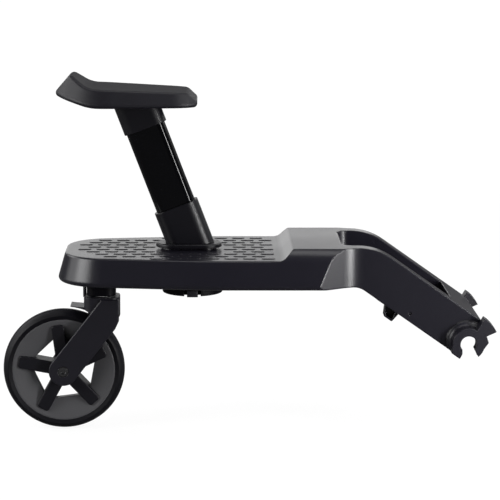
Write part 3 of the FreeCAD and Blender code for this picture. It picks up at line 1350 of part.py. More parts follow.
def button_spring():
    """Coil between the housing's stop and the button's plate."""
    pitch = (SPRING_SEAT_Y - PLATE_END_Y - SPRING_WIRE) / SPRING_TURNS
    coil = SPRING_RADIUS - SPRING_WIRE / 2
    axis_z = LOCK_BOTTOM + LOCK_WALL + SPRING_RADIUS + FIT
    end = SPRING_SEAT_Y - SPRING_WIRE / 2

    def spot(turn):
        angle = 2 * math.pi * turn
        return V(POST_FOOT_X + coil * math.cos(angle), end - pitch * turn, axis_z + coil * math.sin(angle))

    starts = [step / 2 for step in range(2 * SPRING_TURNS)]
    arcs = [Part.Arc(spot(turn), spot(turn + 0.25), spot(turn + 0.5)).toShape() for turn in starts]
    path = Part.Wire(arcs)
    start = arcs[0].tangentAt(arcs[0].FirstParameter)
    section = Part.Wire(Part.makeCircle(SPRING_WIRE / 2, spot(0), start))
    return path.makePipeShell([section], True, False)


def pieces():
    """Every node of the board, by name."""
    return {
        "deck_shell": deck_shell(),
        "underside_cover": underside_cover(),
        "cover_screws": cover_screws(),
        "axle_clip_near": axle_clip(-1),
        "axle_clip_far": axle_clip(1),
        "clip_screws": clip_screws(),
        "swivel_housing": swivel_housing(),
        "swivel_screws": swivel_screws(),
        "upper_bush": upper_bush(),
        "lower_bush": lower_bush(),
        "seat_socket": seat_socket(),
        "lock_housing": lock_housing(),
        "lock_screws": lock_screws(),
        "button_spring": button_spring(),
        "release_button": release_button(),
        "caster_fork": caster_fork(),
        "swivel_stem": swivel_stem(),
        "stem_retainer": stem_retainer(),
        "axle_bolt": axle_bolt(),
        "axle_nut": axle_nut(),
        "axle_washers": axle_washers(),
        "bearing_spacer": bearing_spacer(),
        "tyre": tyre(),
        "rim": rim(),
        "wheel_spider_near": wheel_spider(-1),
        "wheel_spider_far": wheel_spider(1),
        "wheel_bearing_near": wheel_bearing(-1),
        "wheel_bearing_far": wheel_bearing(1),
        "seat_shell": seat_shell(),
        "seat_base": seat_base(),
        "seat_screws": seat_screws(),
        "seat_post": seat_post(),
        "lower_collar": lower_collar(),
        "upper_collar": upper_collar(),
        "base_flange": base_flange(),
        "post_spigot": post_spigot(),
    }


if __name__ == "__main__":
    os.makedirs("parts", exist_ok=True)
    for name, shape in pieces().items():
        shape.exportStep("parts/" + name + ".step")
        print(name, shape.isValid(), len(shape.Solids), round(shape.Volume))
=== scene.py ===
# %% [markdown]
# # Dressing a ride-on board for a pushchair
# An older child rides on this board behind a pushchair. It is a moulded deck with a raised neck, an
# arm that clips on the pushchair's axle, one caster wheel and a small saddle on a leaning post.
# Its solids come from the imported frame. Here they get their finishes, the raised tread on the deck,
# a studio and a camera. The box of the bare solids is kept.

# %% Load the solids
import json
import math
import bmesh
import bpy
from mathutils import Matrix, Vector


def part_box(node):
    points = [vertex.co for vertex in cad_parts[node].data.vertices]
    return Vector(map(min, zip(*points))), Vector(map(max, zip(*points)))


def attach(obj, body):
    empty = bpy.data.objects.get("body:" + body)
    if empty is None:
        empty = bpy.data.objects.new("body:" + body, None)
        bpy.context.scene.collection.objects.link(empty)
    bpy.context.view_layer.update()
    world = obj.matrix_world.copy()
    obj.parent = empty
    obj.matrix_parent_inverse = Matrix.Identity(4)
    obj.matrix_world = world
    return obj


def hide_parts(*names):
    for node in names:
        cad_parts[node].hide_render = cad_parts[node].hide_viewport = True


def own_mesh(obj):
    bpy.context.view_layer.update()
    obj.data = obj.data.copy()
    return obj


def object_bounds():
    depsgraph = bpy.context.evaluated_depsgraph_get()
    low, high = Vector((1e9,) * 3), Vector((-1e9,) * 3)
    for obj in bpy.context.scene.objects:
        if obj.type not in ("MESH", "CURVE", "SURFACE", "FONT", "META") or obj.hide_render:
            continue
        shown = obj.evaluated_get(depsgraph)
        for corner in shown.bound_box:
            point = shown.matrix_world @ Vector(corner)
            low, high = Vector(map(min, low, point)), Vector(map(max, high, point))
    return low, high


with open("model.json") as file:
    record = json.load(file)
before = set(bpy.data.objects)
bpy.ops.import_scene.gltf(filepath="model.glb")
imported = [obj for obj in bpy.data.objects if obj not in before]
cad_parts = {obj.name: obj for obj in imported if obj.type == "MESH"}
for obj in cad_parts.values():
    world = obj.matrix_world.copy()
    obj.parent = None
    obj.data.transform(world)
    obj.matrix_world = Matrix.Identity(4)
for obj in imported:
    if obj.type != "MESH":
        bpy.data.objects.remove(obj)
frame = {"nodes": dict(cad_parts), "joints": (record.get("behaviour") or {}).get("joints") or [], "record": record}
cad_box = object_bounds()
nodes = frame["nodes"]
print("solids:", len(nodes), "box:", [round(v, 4) for corner in cad_box for v in corner])

# %% [markdown]
# Every finish below is a small sum of noises and masks. Placing Math nodes by hand hides that sum, so
# one class wraps a socket and lets Python's own operators add the nodes. It serves the shader trees
# and the Geometry Nodes tree alike, because both use the same Math node. All other nodes come from
# its one method called node, and other gives a second output of a node that has several.


# %% A socket with arithmetic
class Socket:
    """One output of a node tree. Arithmetic on it adds Math nodes."""

    def __init__(self, tree, output=None):
        self.tree = tree
        self.output = output

    def node(self, kind, settings=None, inputs=None, output=0):
        """Add a node: its settings first, then the values or links of its sockets."""
        made = self.tree.nodes.new(kind)
        for name, value in (settings or {}).items():
            setattr(made, name, value)
        for name, value in (inputs or {}).items():
            if isinstance(value, Socket):
                self.tree.links.new(value.output, made.inputs[name])
            else:
                made.inputs[name].default_value = value
        return Socket(self.tree, made.outputs[output])

    def other(self, name):
        """Another output of the node that this socket belongs to."""
        return Socket(self.tree, self.output.node.outputs[name])

    def math(self, operation, first, second):
        return self.node("ShaderNodeMath", {"operation": operation}, {0: first, 1: second})

    def __add__(self, other):
        return self.math("ADD", self, other)

    def __sub__(self, other):
        return self.math("SUBTRACT", self, other)

    def __rsub__(self, other):
        return self.math("SUBTRACT", other, self)

    def __mul__(self, other):
        return self.math("MULTIPLY", self, other)

    def __truediv__(self, other):
        return self.math("DIVIDE", self, other)

    def __gt__(self, other):
        return self.math("GREATER_THAN", self, other)

    def __lt__(self, other):
        return self.math("LESS_THAN", self, other)

    __radd__ = __add__
    __rmul__ = __mul__


print("socket operators ready")

# %% [markdown]
# Three nodes come up again and again: Clamp, Mix for colours, and Noise Texture. Each gets a short
# name, so that a finish reads as one line for each thing that is seen on it. A noise lies about its
# middle, and swing turns it into a change that goes both ways.

# %% Nodes used often
NOISE_MIDDLE = 0.5


def clamped(value):
    """Keep a value between 0 and 1."""
    return value.node("ShaderNodeClamp", None, {"Value": value})


def mixed(factor, first, second):
    """Blend two colours. The Mix node has them at its sockets 6 and 7, and the result at 2."""
    return factor.node("ShaderNodeMix", {"data_type": "RGBA"}, {0: factor, 6: first, 7: second}, 2)


def noise(where, scale, detail=2.0):
    return where.node("ShaderNodeTexNoise", None, {
        "Vector": where, "Scale": scale, "Detail": detail})


def swing(value, reach):
    """A noise as a change by up to half of reach, up or down."""
    return (value - NOISE_MIDDLE) * reach


print("short names ready for Clamp, Mix and Noise Texture")

# %% [markdown]
# Every finish starts the same way: a new material, its Principled shader, and the object's own
# coordinates, in metres. They stay put when the piece moves, so a grain can't swim over it. Edges of
# a solid are perfectly sharp and real ones never are. A Bevel modifier would change the solids, so
# the Bevel node rounds only the normal near an edge, and the angle between the rounded and the true
# normal makes a mask of where the edges are.

# %% What the finishes share
EDGE_SAMPLES = 6
EDGE_GAIN = 5.0
GREEN_LESS, GREEN_SHARE = 0.0006, 0.08
BLUE_MORE, BLUE_SHARE = 0.0040, 0.55


def grey(value):
    """A grey with the faint violet cast of plastic that is coloured with soot."""
    green = value - min(GREEN_LESS, value * GREEN_SHARE)
    blue = value + min(BLUE_MORE, value * BLUE_SHARE)
    return (value, green, blue, 1.0)


def new_finish(name):
    """An empty material, its Principled shader, and its object coordinates as a socket."""
    material = bpy.data.materials.new(name)
    material.use_nodes = True
    shader = material.node_tree.nodes["Principled BSDF"]
    where = Socket(material.node_tree).node("ShaderNodeTexCoord", None, None, "Object")
    return material, shader, where


def feed(shader, name, value):
    shader.id_data.links.new(value.output, shader.inputs[name])


def edge_light(where, radius):
    """The rounded normal of sharp edges, and a mask that is 1 on them."""
    rounded = where.node("ShaderNodeBevel", {"samples": EDGE_SAMPLES}, {"Radius": radius})
    flat = where.node("ShaderNodeNewGeometry", None, None, "Normal")
    along = where.node("ShaderNodeVectorMath", {"operation": "DOT_PRODUCT"},
                       {0: rounded, 1: flat}, "Value")
    return rounded, clamped((1 - along) * EDGE_GAIN)


def feed_bump(shader, height, strength, depth, rounded=None):
    """A bump of the given depth in metres, laid over the rounded normal if there is one."""
    inputs = {"Strength": strength, "Distance": depth, "Height": height}
    if rounded is not None:
        inputs["Normal"] = rounded
    feed(shader, "Normal", height.node("ShaderNodeBump", None, inputs))


print("shared parts of the finishes ready")

# %% [markdown]
# Nearly everything that shows is black moulded plastic. A real moulding isn't one flat black: its
# mould is spark-eroded, which leaves a fine grain, the gloss drifts a little from place to place, and
# each edge is rubbed smoother. Each edge is also painted paler, partly as wear and partly as a
# painted highlight where light would catch it. A picture of grain would need UV maps, which the
# solids don't have, so noise does it: the grain is a bump, the drift a broad noise on tone and
# roughness, and the wear and the painted highlight follow the edge mask. The deck is the glossiest,
# the saddle and the spokes are duller, and the rim is grey. The housings under the deck lie in its
# shade, and that shade is painted into them as a darker, duller plastic.

# %% Moulded plastic
DRIFT_SCALE, DRIFT_TONE, DRIFT_GLOSS = 9.0, 0.15, 0.10
GRAIN_SCALE, GRAIN_DETAIL, GRAIN_GLOSS, GRAIN_STRENGTH = 900.0, 3.0, 0.06, 0.5
WEAR_AND_HIGHLIGHT_SHARE, RUBBED_GLOSS = 0.6, 0.08


def moulded(name, shade, roughness, depth=0.00006, edge=0.0012, wear_and_highlight=1.5, specular=0.4):
    """Grained black or grey plastic with edges painted paler: partly wear, partly painted highlight."""
    material, shader, where = new_finish(name)
    rounded, rim_mask = edge_light(where, edge)
    drift = noise(where, DRIFT_SCALE)
    fine = noise(where, GRAIN_SCALE, GRAIN_DETAIL)
    body = mixed(drift, grey(shade * (1 - DRIFT_TONE)), grey(shade * (1 + DRIFT_TONE)))
    # The edges are painted paler here: partly wear, partly a painted highlight of light on the edges.
    feed(shader, "Base Color", mixed(rim_mask * WEAR_AND_HIGHLIGHT_SHARE, body, grey(shade * wear_and_highlight)))
    dull = roughness + swing(drift, DRIFT_GLOSS) + swing(fine, GRAIN_GLOSS)
    feed(shader, "Roughness", dull - rim_mask * RUBBED_GLOSS)
    feed_bump(shader, fine, GRAIN_STRENGTH, depth, rounded)
    shader.inputs["Specular IOR Level"].default_value = specular
    return material


finishes = {
    "deck_plastic": moulded("deck_plastic", 0.0075, 0.30, edge=0.0026, wear_and_highlight=2.4),
    "clip_plastic": moulded("clip_plastic", 0.0075, 0.36, wear_and_highlight=3.0),
    "fork_plastic": moulded("fork_plastic", 0.0075, 0.42, wear_and_highlight=3.0),
    "seat_plastic": moulded("seat_plastic", 0.005, 0.48, specular=0.30),
    "collar_plastic": moulded("collar_plastic", 0.003, 0.36, specular=0.32),
    "button_plastic": moulded("button_plastic", 0.010, 0.42),
    "rim_plastic": moulded("rim_plastic", 0.064, 0.42),
    "spoke_plastic": moulded("spoke_plastic", 0.004, 0.46, specular=0.3),
    "bush_plastic": moulded("bush_plastic", 0.58, 0.45, depth=0.00003),
}
# Painted shade: a darker, duller copy of the plastic for the housings in the deck's shade.
painted_shade_plastic = moulded("painted_shade_plastic", 0.002, 0.50, specular=0.08)
print("moulded finishes:", sorted(finishes))

# %% [markdown]
# The post is an extruded tube with a gloss black skin. Extrusion leaves faint lines along the tube.
# An anisotropic shader could hint at them, but a noise that is stretched along the leaning axis shows
# the lines themselves: the coordinates are turned upright first, then squeezed along the tube. A thin
# coat gives the hard, bright strip on the rounded corner.

# %% Gloss tube
POST_LEAN = math.radians(21.0)
LINES_ACROSS, LINES_ALONG = 420.0, 4.0
LINE_GLOSS, LINE_STRENGTH, LINE_DEPTH = 0.06, 0.12, 0.00002
TUBE_DRIFT_SCALE, TUBE_DRIFT_GLOSS = 12.0, 0.04
TUBE_ROUGHNESS = 0.10
TUBE_DARK = (0.0008, 0.0008, 0.0012, 1.0)
TUBE_LIGHT = (0.0014, 0.0014, 0.002, 1.0)


def drawn_tube():
    material, shader, where = new_finish("post_tube")
    turned = where.node("ShaderNodeMapping", None, {
        "Vector": where, "Rotation": (0.0, POST_LEAN, 0.0)})
    squeezed = where.node("ShaderNodeMapping", None, {
        "Vector": turned, "Scale": (LINES_ACROSS, LINES_ACROSS, LINES_ALONG)})
    lines = noise(squeezed, 1.0)
    drift = noise(where, TUBE_DRIFT_SCALE)
    feed(shader, "Base Color", mixed(drift, TUBE_DARK, TUBE_LIGHT))
    feed(shader, "Roughness", TUBE_ROUGHNESS + lines * LINE_GLOSS + drift * TUBE_DRIFT_GLOSS)
    feed_bump(shader, lines, LINE_STRENGTH, LINE_DEPTH)
    shader.inputs["Specular IOR Level"].default_value = 0.05
    shader.inputs["Coat Weight"].default_value = 0.4
    shader.inputs["Coat Roughness"].default_value = 0.06
    return material


finishes["post_tube"] = drawn_tube()
print("post tube ready, its lines lean by", round(math.degrees(POST_LEAN)), "degrees")

# %% [markdown]
# The tyre is matt black rubber. Its side shows fine rings from the turned mould and a faint bloom of
# dust near the tread. Modelled rings would take thousands of faces, so they are a bump. Rings and
# dust both follow the distance from the axle, so the finish measures that radius in the wheel's plane
# and builds them from it.

# %% Tyre rubber
tyre_low, tyre_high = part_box("tyre")
WHEEL_X = (tyre_low.x + tyre_high.x) / 2
WHEEL_Z = (tyre_low.z + tyre_high.z) / 2
TYRE_RADIUS = (tyre_high.x - tyre_low.x) / 2
TYRE_EDGE = 0.0008
RUBBER_SHADE, RUBBER_ROUGHNESS = 0.003, 0.50
RUBBER_DRIFT_SCALE, RUBBER_DRIFT_DETAIL, RUBBER_DRIFT_GLOSS = 30.0, 4.0, 0.14
PORE_SCALE, PORE_DETAIL, PORE_STRENGTH, PORE_DEPTH = 1400.0, 3.0, 0.5, 0.00007
RING_PITCH, RING_SHARE = 0.0011, 0.35
DUST_FROM, DUST_GAIN, DUST_PATCHES = 0.955, 16.0, 0.6
DUST_SHADE, DUST_DULL = 0.010, 0.12


def wheel_radius(where):
    """Distance from the wheel's axle, in metres."""
    place = where.node("ShaderNodeMapping", None, {
        "Vector": where, "Location": (-WHEEL_X, 0.0, -WHEEL_Z)})
    flat = where.node("ShaderNodeVectorMath", {"operation": "MULTIPLY"},
                      {0: place, 1: (1.0, 0.0, 1.0)})
    return where.node("ShaderNodeVectorMath", {"operation": "LENGTH"}, {0: flat}, "Value")


def rubber():
    material, shader, where = new_finish("tyre_rubber")
    rounded = edge_light(where, TYRE_EDGE)[0]
    radius = wheel_radius(where)
    rings = where.math("SINE", radius * (2 * math.pi / RING_PITCH), 0.0)
    drift = noise(where, RUBBER_DRIFT_SCALE, RUBBER_DRIFT_DETAIL)
    pores = noise(where, PORE_SCALE, PORE_DETAIL)
    near_tread = clamped((radius / TYRE_RADIUS - DUST_FROM) * DUST_GAIN)
    dust = near_tread * (1 - DUST_PATCHES + drift * DUST_PATCHES)
    feed(shader, "Base Color", mixed(dust, grey(RUBBER_SHADE), grey(DUST_SHADE)))
    dull = RUBBER_ROUGHNESS + swing(drift, RUBBER_DRIFT_GLOSS)
    feed(shader, "Roughness", dull + dust * DUST_DULL)
    feed_bump(shader, pores + rings * RING_SHARE, PORE_STRENGTH, PORE_DEPTH, rounded)
    shader.inputs["Specular IOR Level"].default_value = 0.17
    return material


finishes["tyre_rubber"] = rubber()
print("tyre radius:", round(TYRE_RADIUS, 4), "axle at", round(WHEEL_X, 4), round(WHEEL_Z, 4))

# %% [markdown]
# Screws, bearings and the swivel's stem are zinc-plated steel: bright, slightly cloudy and finely
# scratched by tumbling. A plain metal shader would look like a mirror, so a cloud and a stretched
# noise break up its gloss. The axle bolt and its nut are blackened, so the same recipe is used
# darker.

# %% Steel
STEEL_EDGE, STEEL_RUBBED_GLOSS = 0.0004, 0.06
CLOUD_SCALE, CLOUD_DETAIL, CLOUD_GLOSS = 160.0, 4.0, 0.16
SCRATCHES = (300.0, 2400.0, 900.0)
SCRATCH_GLOSS, SCRATCH_STRENGTH, SCRATCH_DEPTH = 0.10, 0.25, 0.00002


def plated_steel(name, dark, light, roughness):
    material, shader, where = new_finish(name)
    rounded, rim_mask = edge_light(where, STEEL_EDGE)
    cloud = noise(where, CLOUD_SCALE, CLOUD_DETAIL)
    drawn = where.node("ShaderNodeMapping", None, {"Vector": where, "Scale": SCRATCHES})
    scratches = noise(drawn, 1.0)
    feed(shader, "Base Color", mixed(cloud, grey(dark), grey(light)))
    dull = roughness + swing(cloud, CLOUD_GLOSS) + swing(scratches, SCRATCH_GLOSS)
    feed(shader, "Roughness", dull - rim_mask * STEEL_RUBBED_GLOSS)
    feed_bump(shader, scratches, SCRATCH_STRENGTH, SCRATCH_DEPTH, rounded)
    shader.inputs["Metallic"].default_value = 1.0
    return material


finishes["steel"] = plated_steel("steel", 0.46, 0.58, 0.32)
finishes["black_steel"] = plated_steel("black_steel", 0.12, 0.22, 0.26)
print("steels ready")

# %% [markdown]
# Each solid takes the finish that the record's material slot names. A list by hand would do as well,
# but this way the table of pieces and the looks can't drift apart. The two housings under the deck
# then get a darker, duller copy of the plastic, which paints the deck's shade into their colour.
# Only the material slots change. The meshes stay as packed.

# %% Put the finishes on the solids
for part in frame["record"]["subparts"]:
    piece = nodes[part["node"]]
    piece.data.materials.clear()
    piece.data.materials.append(finishes[part["material_slot"]])
# Painted shade: the housings under the deck take the darker copy.
for name in ("swivel_housing", "lock_housing"):
    nodes[name].data.materials[0] = painted_shade_plastic

# %% [markdown]
# The deck's top carries raised dashes that keep a shoe from slipping. They stand in rows along the
# board, every second row shifted by half a pitch, and stop short of the rim, the ramp and the post's
# foot. They could be copied and trimmed by hand, but a rule places them, so Geometry Nodes do, and
# each size is a named input of the tree. Lengths are metres in the board's own frame, in which the
# axle lies at zero and the nose points to -X.

# %% Sizes of the tread
deck_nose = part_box("deck_shell")[0].x
flange_low, flange_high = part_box("base_flange")
DECK_TOP = 0.1025
NOSE_ROUNDING = 0.010
FOOT_CLEAR_X, FOOT_CLEAR_Y = 0.009, 0.003
TREAD = {
    "Pitch": 0.0226,
    "Row": 0.0171,
    "Rib Length": 0.0172,
    "Rib Width": 0.0050,
    "Rib Height": 0.0007,
    "Front X": -0.2437,
    "Nose X": deck_nose + NOSE_ROUNDING,
    "Shoulder X": -0.318,
    "Nose Half": 0.070,
    "Deck Half": 0.095,
    "Margin": 0.008,
    "Nose Corner": 0.046,
    "Front Corner": 0.020,
    "Front Gap": 0.004,
    "Post X": (flange_low.x + flange_high.x) / 2,
    "Post Half Length": (flange_high.x - flange_low.x) / 2 + FOOT_CLEAR_X,
    "Post Half Width": (flange_high.y - flange_low.y) / 2 + FOOT_CLEAR_Y,
    "Level": DECK_TOP,
}
TREAD_COLUMNS = 12
TREAD_ROWS = 10
print("deck top:", DECK_TOP, "columns:", TREAD_COLUMNS, "rows:", TREAD_ROWS)

# %% [markdown]
# The places come first. A grid gives one point for each rib, and a point's index tells its row,
# because the grid counts along Y. Odd rows move half a pitch towards the nose, and the whole grid
# moves on to the deck.


# %% Rows of points
def rib_rows(tools, size):
    """Points in shifted rows on the deck's top, with those that lie off the tread still there."""
    grid = tools.node("GeometryNodeMeshGrid", None, {
        "Size X": size["Pitch"] * (TREAD_COLUMNS - 1), "Size Y": size["Row"] * (TREAD_ROWS - 1),
        "Vertices X": TREAD_COLUMNS, "Vertices Y": TREAD_ROWS})
    row = tools.math("MODULO", tools.node("GeometryNodeInputIndex"), float(TREAD_ROWS))
    odd = tools.math("MODULO", row, 2.0)
    middle = size["Front X"] - size["Pitch"] * ((TREAD_COLUMNS - 1) / 2)
    column_shift = middle - odd * size["Pitch"] / 2.0
    shift = tools.node("ShaderNodeCombineXYZ", None, {"X": column_shift, "Z": size["Level"]})
    return tools.node("GeometryNodeSetPosition", None, {"Geometry": grid, "Offset": shift})


print("points for ribs:", TREAD_COLUMNS * TREAD_ROWS)

# %% [markdown]
# The tread's outline widens from the nose to the deck's shoulder, with rounded corners at both ends.
# A drawn outline could cut the grid, but comparing numbers is enough: each rule gives 1 for a point
# that breaks it and 0 for one that doesn't, and a point with a sum above a half is deleted. The
# post's foot is a plain box that is cut out of the pattern in the same way.


# %% Points off the tread
def on_tread(tools, size, points):
    """Drop the points that lie past the tread's outline or under the post's foot."""
    x = tools.node("ShaderNodeSeparateXYZ", None, {0: tools.node("GeometryNodeInputPosition")})
    aside = tools.math("ABSOLUTE", x.other("Y"), 0.0)
    share = clamped((x - size["Nose X"]) / (size["Shoulder X"] - size["Nose X"]))
    half = size["Nose Half"] + (size["Deck Half"] - size["Nose Half"]) * share - size["Margin"]
    start = size["Nose X"] + size["Margin"] + size["Rib Length"] / 2.0
    stop = size["Front X"] + size["Front Gap"]

    def past_corner(radius, from_end):
        """1 where a point lies outside a rounded corner of the tread's outline."""
        reach_x = tools.math("MAXIMUM", radius - from_end, 0.0)
        reach_y = tools.math("MAXIMUM", radius - (half - aside), 0.0)
        return (reach_x * reach_x + reach_y * reach_y) > radius * radius

    off_nose_corner = past_corner(size["Nose Corner"], x - start)
    off_front_corner = past_corner(size["Front Corner"], stop - x)
    post_x = tools.math("ABSOLUTE", x - size["Post X"], 0.0) < size["Post Half Length"]
    post_y = aside < size["Post Half Width"]
    broken = (aside > half) + (x < start) + off_nose_corner + off_front_corner + post_x * post_y
    return tools.node("GeometryNodeDeleteGeometry", {"domain": "POINT"}, {
        "Geometry": points, "Selection": broken > 0.5})


print("outline of the tread described")

# %% [markdown]
# One rib is a rounded bar with a smaller top, as a mould needs to let it go. A cube with a Bevel
# modifier would give its shape, but then its sizes would not be inputs of the tree. So a filleted
# rectangle is filled and raised, and its top face shrunk. Raising leaves the bar open below, so the
# flat face is turned over and welded on as its sole.

# %% One rib
CORNER_SHARE = 0.45
CORNER_STEPS = 4
TOP_SHARE = 0.86
WELD = 1e-6


def tapered_rib(tools, size):
    outline = tools.node("GeometryNodeCurvePrimitiveQuadrilateral", {"mode": "RECTANGLE"}, {
        "Width": size["Rib Length"], "Height": size["Rib Width"]})
    rounded = tools.node("GeometryNodeFilletCurve", {"mode": "POLY"}, {
        "Curve": outline, "Radius": size["Rib Width"] * CORNER_SHARE, "Count": CORNER_STEPS})
    face = tools.node("GeometryNodeFillCurve", {"mode": "NGONS"}, {"Curve": rounded})
    raised = tools.node("GeometryNodeExtrudeMesh", {"mode": "FACES"}, {
        "Mesh": face, "Offset Scale": size["Rib Height"]})
    tapered = tools.node("GeometryNodeScaleElements", {"domain": "FACE"}, {
        "Geometry": raised, "Selection": raised.other("Top"), "Scale": TOP_SHARE})
    sole = tools.node("GeometryNodeFlipFaces", None, {"Mesh": face})
    joined = tools.node("GeometryNodeJoinGeometry", None, {"Geometry": tapered})
    tools.tree.links.new(sole.output, joined.output.node.inputs["Geometry"])
    return tools.node("GeometryNodeMergeByDistance", None, {"Geometry": joined, "Distance": WELD})


print("one rib described, its top", TOP_SHARE, "of its foot")

# %% [markdown]
# The tree sets one rib on each point. Its instances are made real, because an export drops them, and
# the finish is set last.


# %% The tread's tree
def tread_tree():
    tree = bpy.data.node_groups.new("deck_tread", "GeometryNodeTree")
    for name in TREAD:
        tree.interface.new_socket(name, in_out="INPUT", socket_type="NodeSocketFloat")
    tree.interface.new_socket("Finish", in_out="INPUT", socket_type="NodeSocketMaterial")
    tree.interface.new_socket("Geometry", in_out="OUTPUT", socket_type="NodeSocketGeometry")
    entry = tree.nodes.new("NodeGroupInput")
    size = {name: Socket(tree, entry.outputs[name]) for name in list(TREAD) + ["Finish"]}
    tools = Socket(tree)
    points = on_tread(tools, size, rib_rows(tools, size))
    ribs = tools.node("GeometryNodeInstanceOnPoints", None, {
        "Points": points, "Instance": tapered_rib(tools, size)})
    solid = tools.node("GeometryNodeRealizeInstances", None, {"Geometry": ribs})
    finished = tools.node("GeometryNodeSetMaterial", None, {
        "Geometry": solid, "Material": size["Finish"]})
    leave = tree.nodes.new("NodeGroupOutput")
    tree.links.new(finished.output, leave.inputs["Geometry"])
    return tree


print("inputs of the tread's tree:", len(TREAD) + 1)

# %% [markdown]
# A carrier object with an empty mesh runs the tree once. Each input is set by its socket's
# identifier, because the modifier doesn't know the names. Only the plain mesh that comes out is kept.
# It rides on the board, and its finish is the deck's plastic, a little darker.


# %% Make the tread
def as_mesh(name, tree, values):
    """Run a tree on an empty mesh with its inputs set, and return the plain result."""
    carrier = bpy.data.objects.new(name + "_carrier", bpy.data.meshes.new(name + "_carrier"))
    bpy.context.scene.collection.objects.link(carrier)
    modifier = carrier.modifiers.new(name, "NODES")
    modifier.node_group = tree
    for item in tree.interface.items_tree:
        if item.in_out == "INPUT":
            modifier[item.identifier] = values[item.name]
    evaluated = carrier.evaluated_get(bpy.context.evaluated_depsgraph_get())
    mesh = bpy.data.meshes.new_from_object(evaluated)
    mesh.name = name
    bpy.data.objects.remove(carrier)
    piece = bpy.data.objects.new(name, mesh)
    bpy.context.scene.collection.objects.link(piece)
    return piece


tread_finish = moulded("deck_tread", 0.005, 0.30, edge=0.0004)
deck_tread = as_mesh("deck_tread", tread_tree(), {**TREAD, "Finish": tread_finish})
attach(deck_tread, "board")
print("tread faces:", len(deck_tread.data.polygons))

# %% [markdown]
# The release button is pushed back by a coil spring in the lock's housing. A solid coil can't get
# shorter, so another piece stands for it. A Screw modifier could wind a new coil, but a copy of the
# imported mesh has the right shape already. That mesh is loose triangles, so the copy is welded.

# %% Return spring
spring_low, spring_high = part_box("button_spring")
BUTTON_TRAVEL = next(j["range_m"][1] for j in frame["joints"] if j["name"] == "button_press")
spring_mesh = nodes["button_spring"].data.copy()
spring_mesh.name = "return_spring"
merge = bmesh.new()
merge.from_mesh(spring_mesh)
bmesh.ops.remove_doubles(merge, verts=merge.verts, dist=WELD)
merge.to_mesh(spring_mesh)
merge.free()
return_spring = bpy.data.objects.new("return_spring", spring_mesh)
bpy.context.scene.collection.objects.link(return_spring)
spring_length = spring_high.y - spring_low.y
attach(return_spring, "board")
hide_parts("button_spring")
1 - BUTTON_TRAVEL / spring_length
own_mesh(return_spring)
print("spring length:", round(spring_length, 4))

# %% [markdown]
# The board stands on a plain floor, so wide that its edge is never seen. It isn't part of the object.

# %% Floor
FLOOR_HALF = 30.0
FLOOR_LEVEL = cad_box[0].z

floor_mesh = bpy.data.meshes.new("floor")
corners = [(-1, -1), (1, -1), (1, 1), (-1, 1)]
floor_mesh.from_pydata([(FLOOR_HALF * x, FLOOR_HALF * y, FLOOR_LEVEL) for x, y in corners],
                       [], [(0, 1, 2, 3)])
floor = bpy.data.objects.new("floor", floor_mesh)
bpy.context.scene.collection.objects.link(floor)
print("floor at", round(FLOOR_LEVEL, 4))

# %% [markdown]
# The photograph is a cut-out on white. More light would make a pale floor white, but the board with
# it. So camera rays, which the Light Path node tells apart, see most of the floor as plain white. A
# share of pale paper stays and keeps a soft shadow near the board, and it gets smaller with distance,
# so that no horizon shows. Shiny surfaces mirror a dim floor instead, because a white one would turn
# the side walls of the black mouldings grey.

# %% The floor's paper
WHITE = (1.0, 1.0, 1.0, 1.0)
PALE_PAPER = (0.8, 0.8, 0.8, 1.0)
GREY_PAPER = (0.35, 0.35, 0.35, 1.0)
FLOOR_WHITE = 1.06
FLOOR_GLOSS = 0.14
FLOOR_MIDDLE = (-0.3, 0.0, FLOOR_LEVEL)
WHITE_NEAR, WHITE_GAIN = 0.85, 0.13
FADE_FROM, FADE_RATE = 0.5, 0.5


def ray_kinds(tools):
    """1 for rays from the camera, and 1 for rays that a shiny surface sends out."""
    path = tools.node("ShaderNodeLightPath")
    return path.other("Is Camera Ray"), path.other("Is Glossy Ray")


floor_finish = bpy.data.materials.new("floor")
floor_finish.use_nodes = True
floor_tree = floor_finish.node_tree
floor_tree.nodes.remove(floor_tree.nodes["Principled BSDF"])
paper = Socket(floor_tree)
camera_ray, glossy_ray = ray_kinds(paper)
place = paper.node("ShaderNodeTexCoord", None, None, "Object")
aside = paper.node("ShaderNodeVectorMath", {"operation": "DISTANCE"},
                   {0: place, 1: FLOOR_MIDDLE}, "Value")
share = WHITE_NEAR + clamped((aside - FADE_FROM) * FADE_RATE) * WHITE_GAIN
matt = paper.node("ShaderNodeBsdfDiffuse", None, {"Color": GREY_PAPER})
pale = paper.node("ShaderNodeBsdfDiffuse", None, {"Color": PALE_PAPER})
dim = paper.node("ShaderNodeEmission", None, {"Color": WHITE, "Strength": FLOOR_GLOSS})
white = paper.node("ShaderNodeEmission", None, {"Color": WHITE, "Strength": FLOOR_WHITE})
unseen = paper.node("ShaderNodeMixShader", None, {0: glossy_ray, 1: matt, 2: dim})
seen = paper.node("ShaderNodeMixShader", None, {0: share, 1: pale, 2: white})
surface = paper.node("ShaderNodeMixShader", None, {0: camera_ray, 1: unseen, 2: seen})
floor_tree.links.new(surface.output, floor_tree.nodes["Material Output"].inputs["Surface"])
floor_mesh.materials.append(floor_finish)
print("floor white near the board:", WHITE_NEAR, "far away:", WHITE_NEAR + WHITE_GAIN)

# %% [markdown]
# The backdrop is the world. The camera sees it white. Everything else meets a studio with a pale wall
# behind the board, brighter to the right, and a dim front. That keeps the side walls of the mouldings
# dark while their tops shine grey. Panels could be modelled for it, but a sum of masks on the ray's
# direction casts no shadow and is seen in no view.

# %% Backdrop
FRONT_LEVEL = 0.06
BACK_LEVEL = 0.25
BACK_RIGHT = 0.3
BACK_FROM = 0.10
BACK_STEEP = 10.0
BACK_SPREAD = 2.0

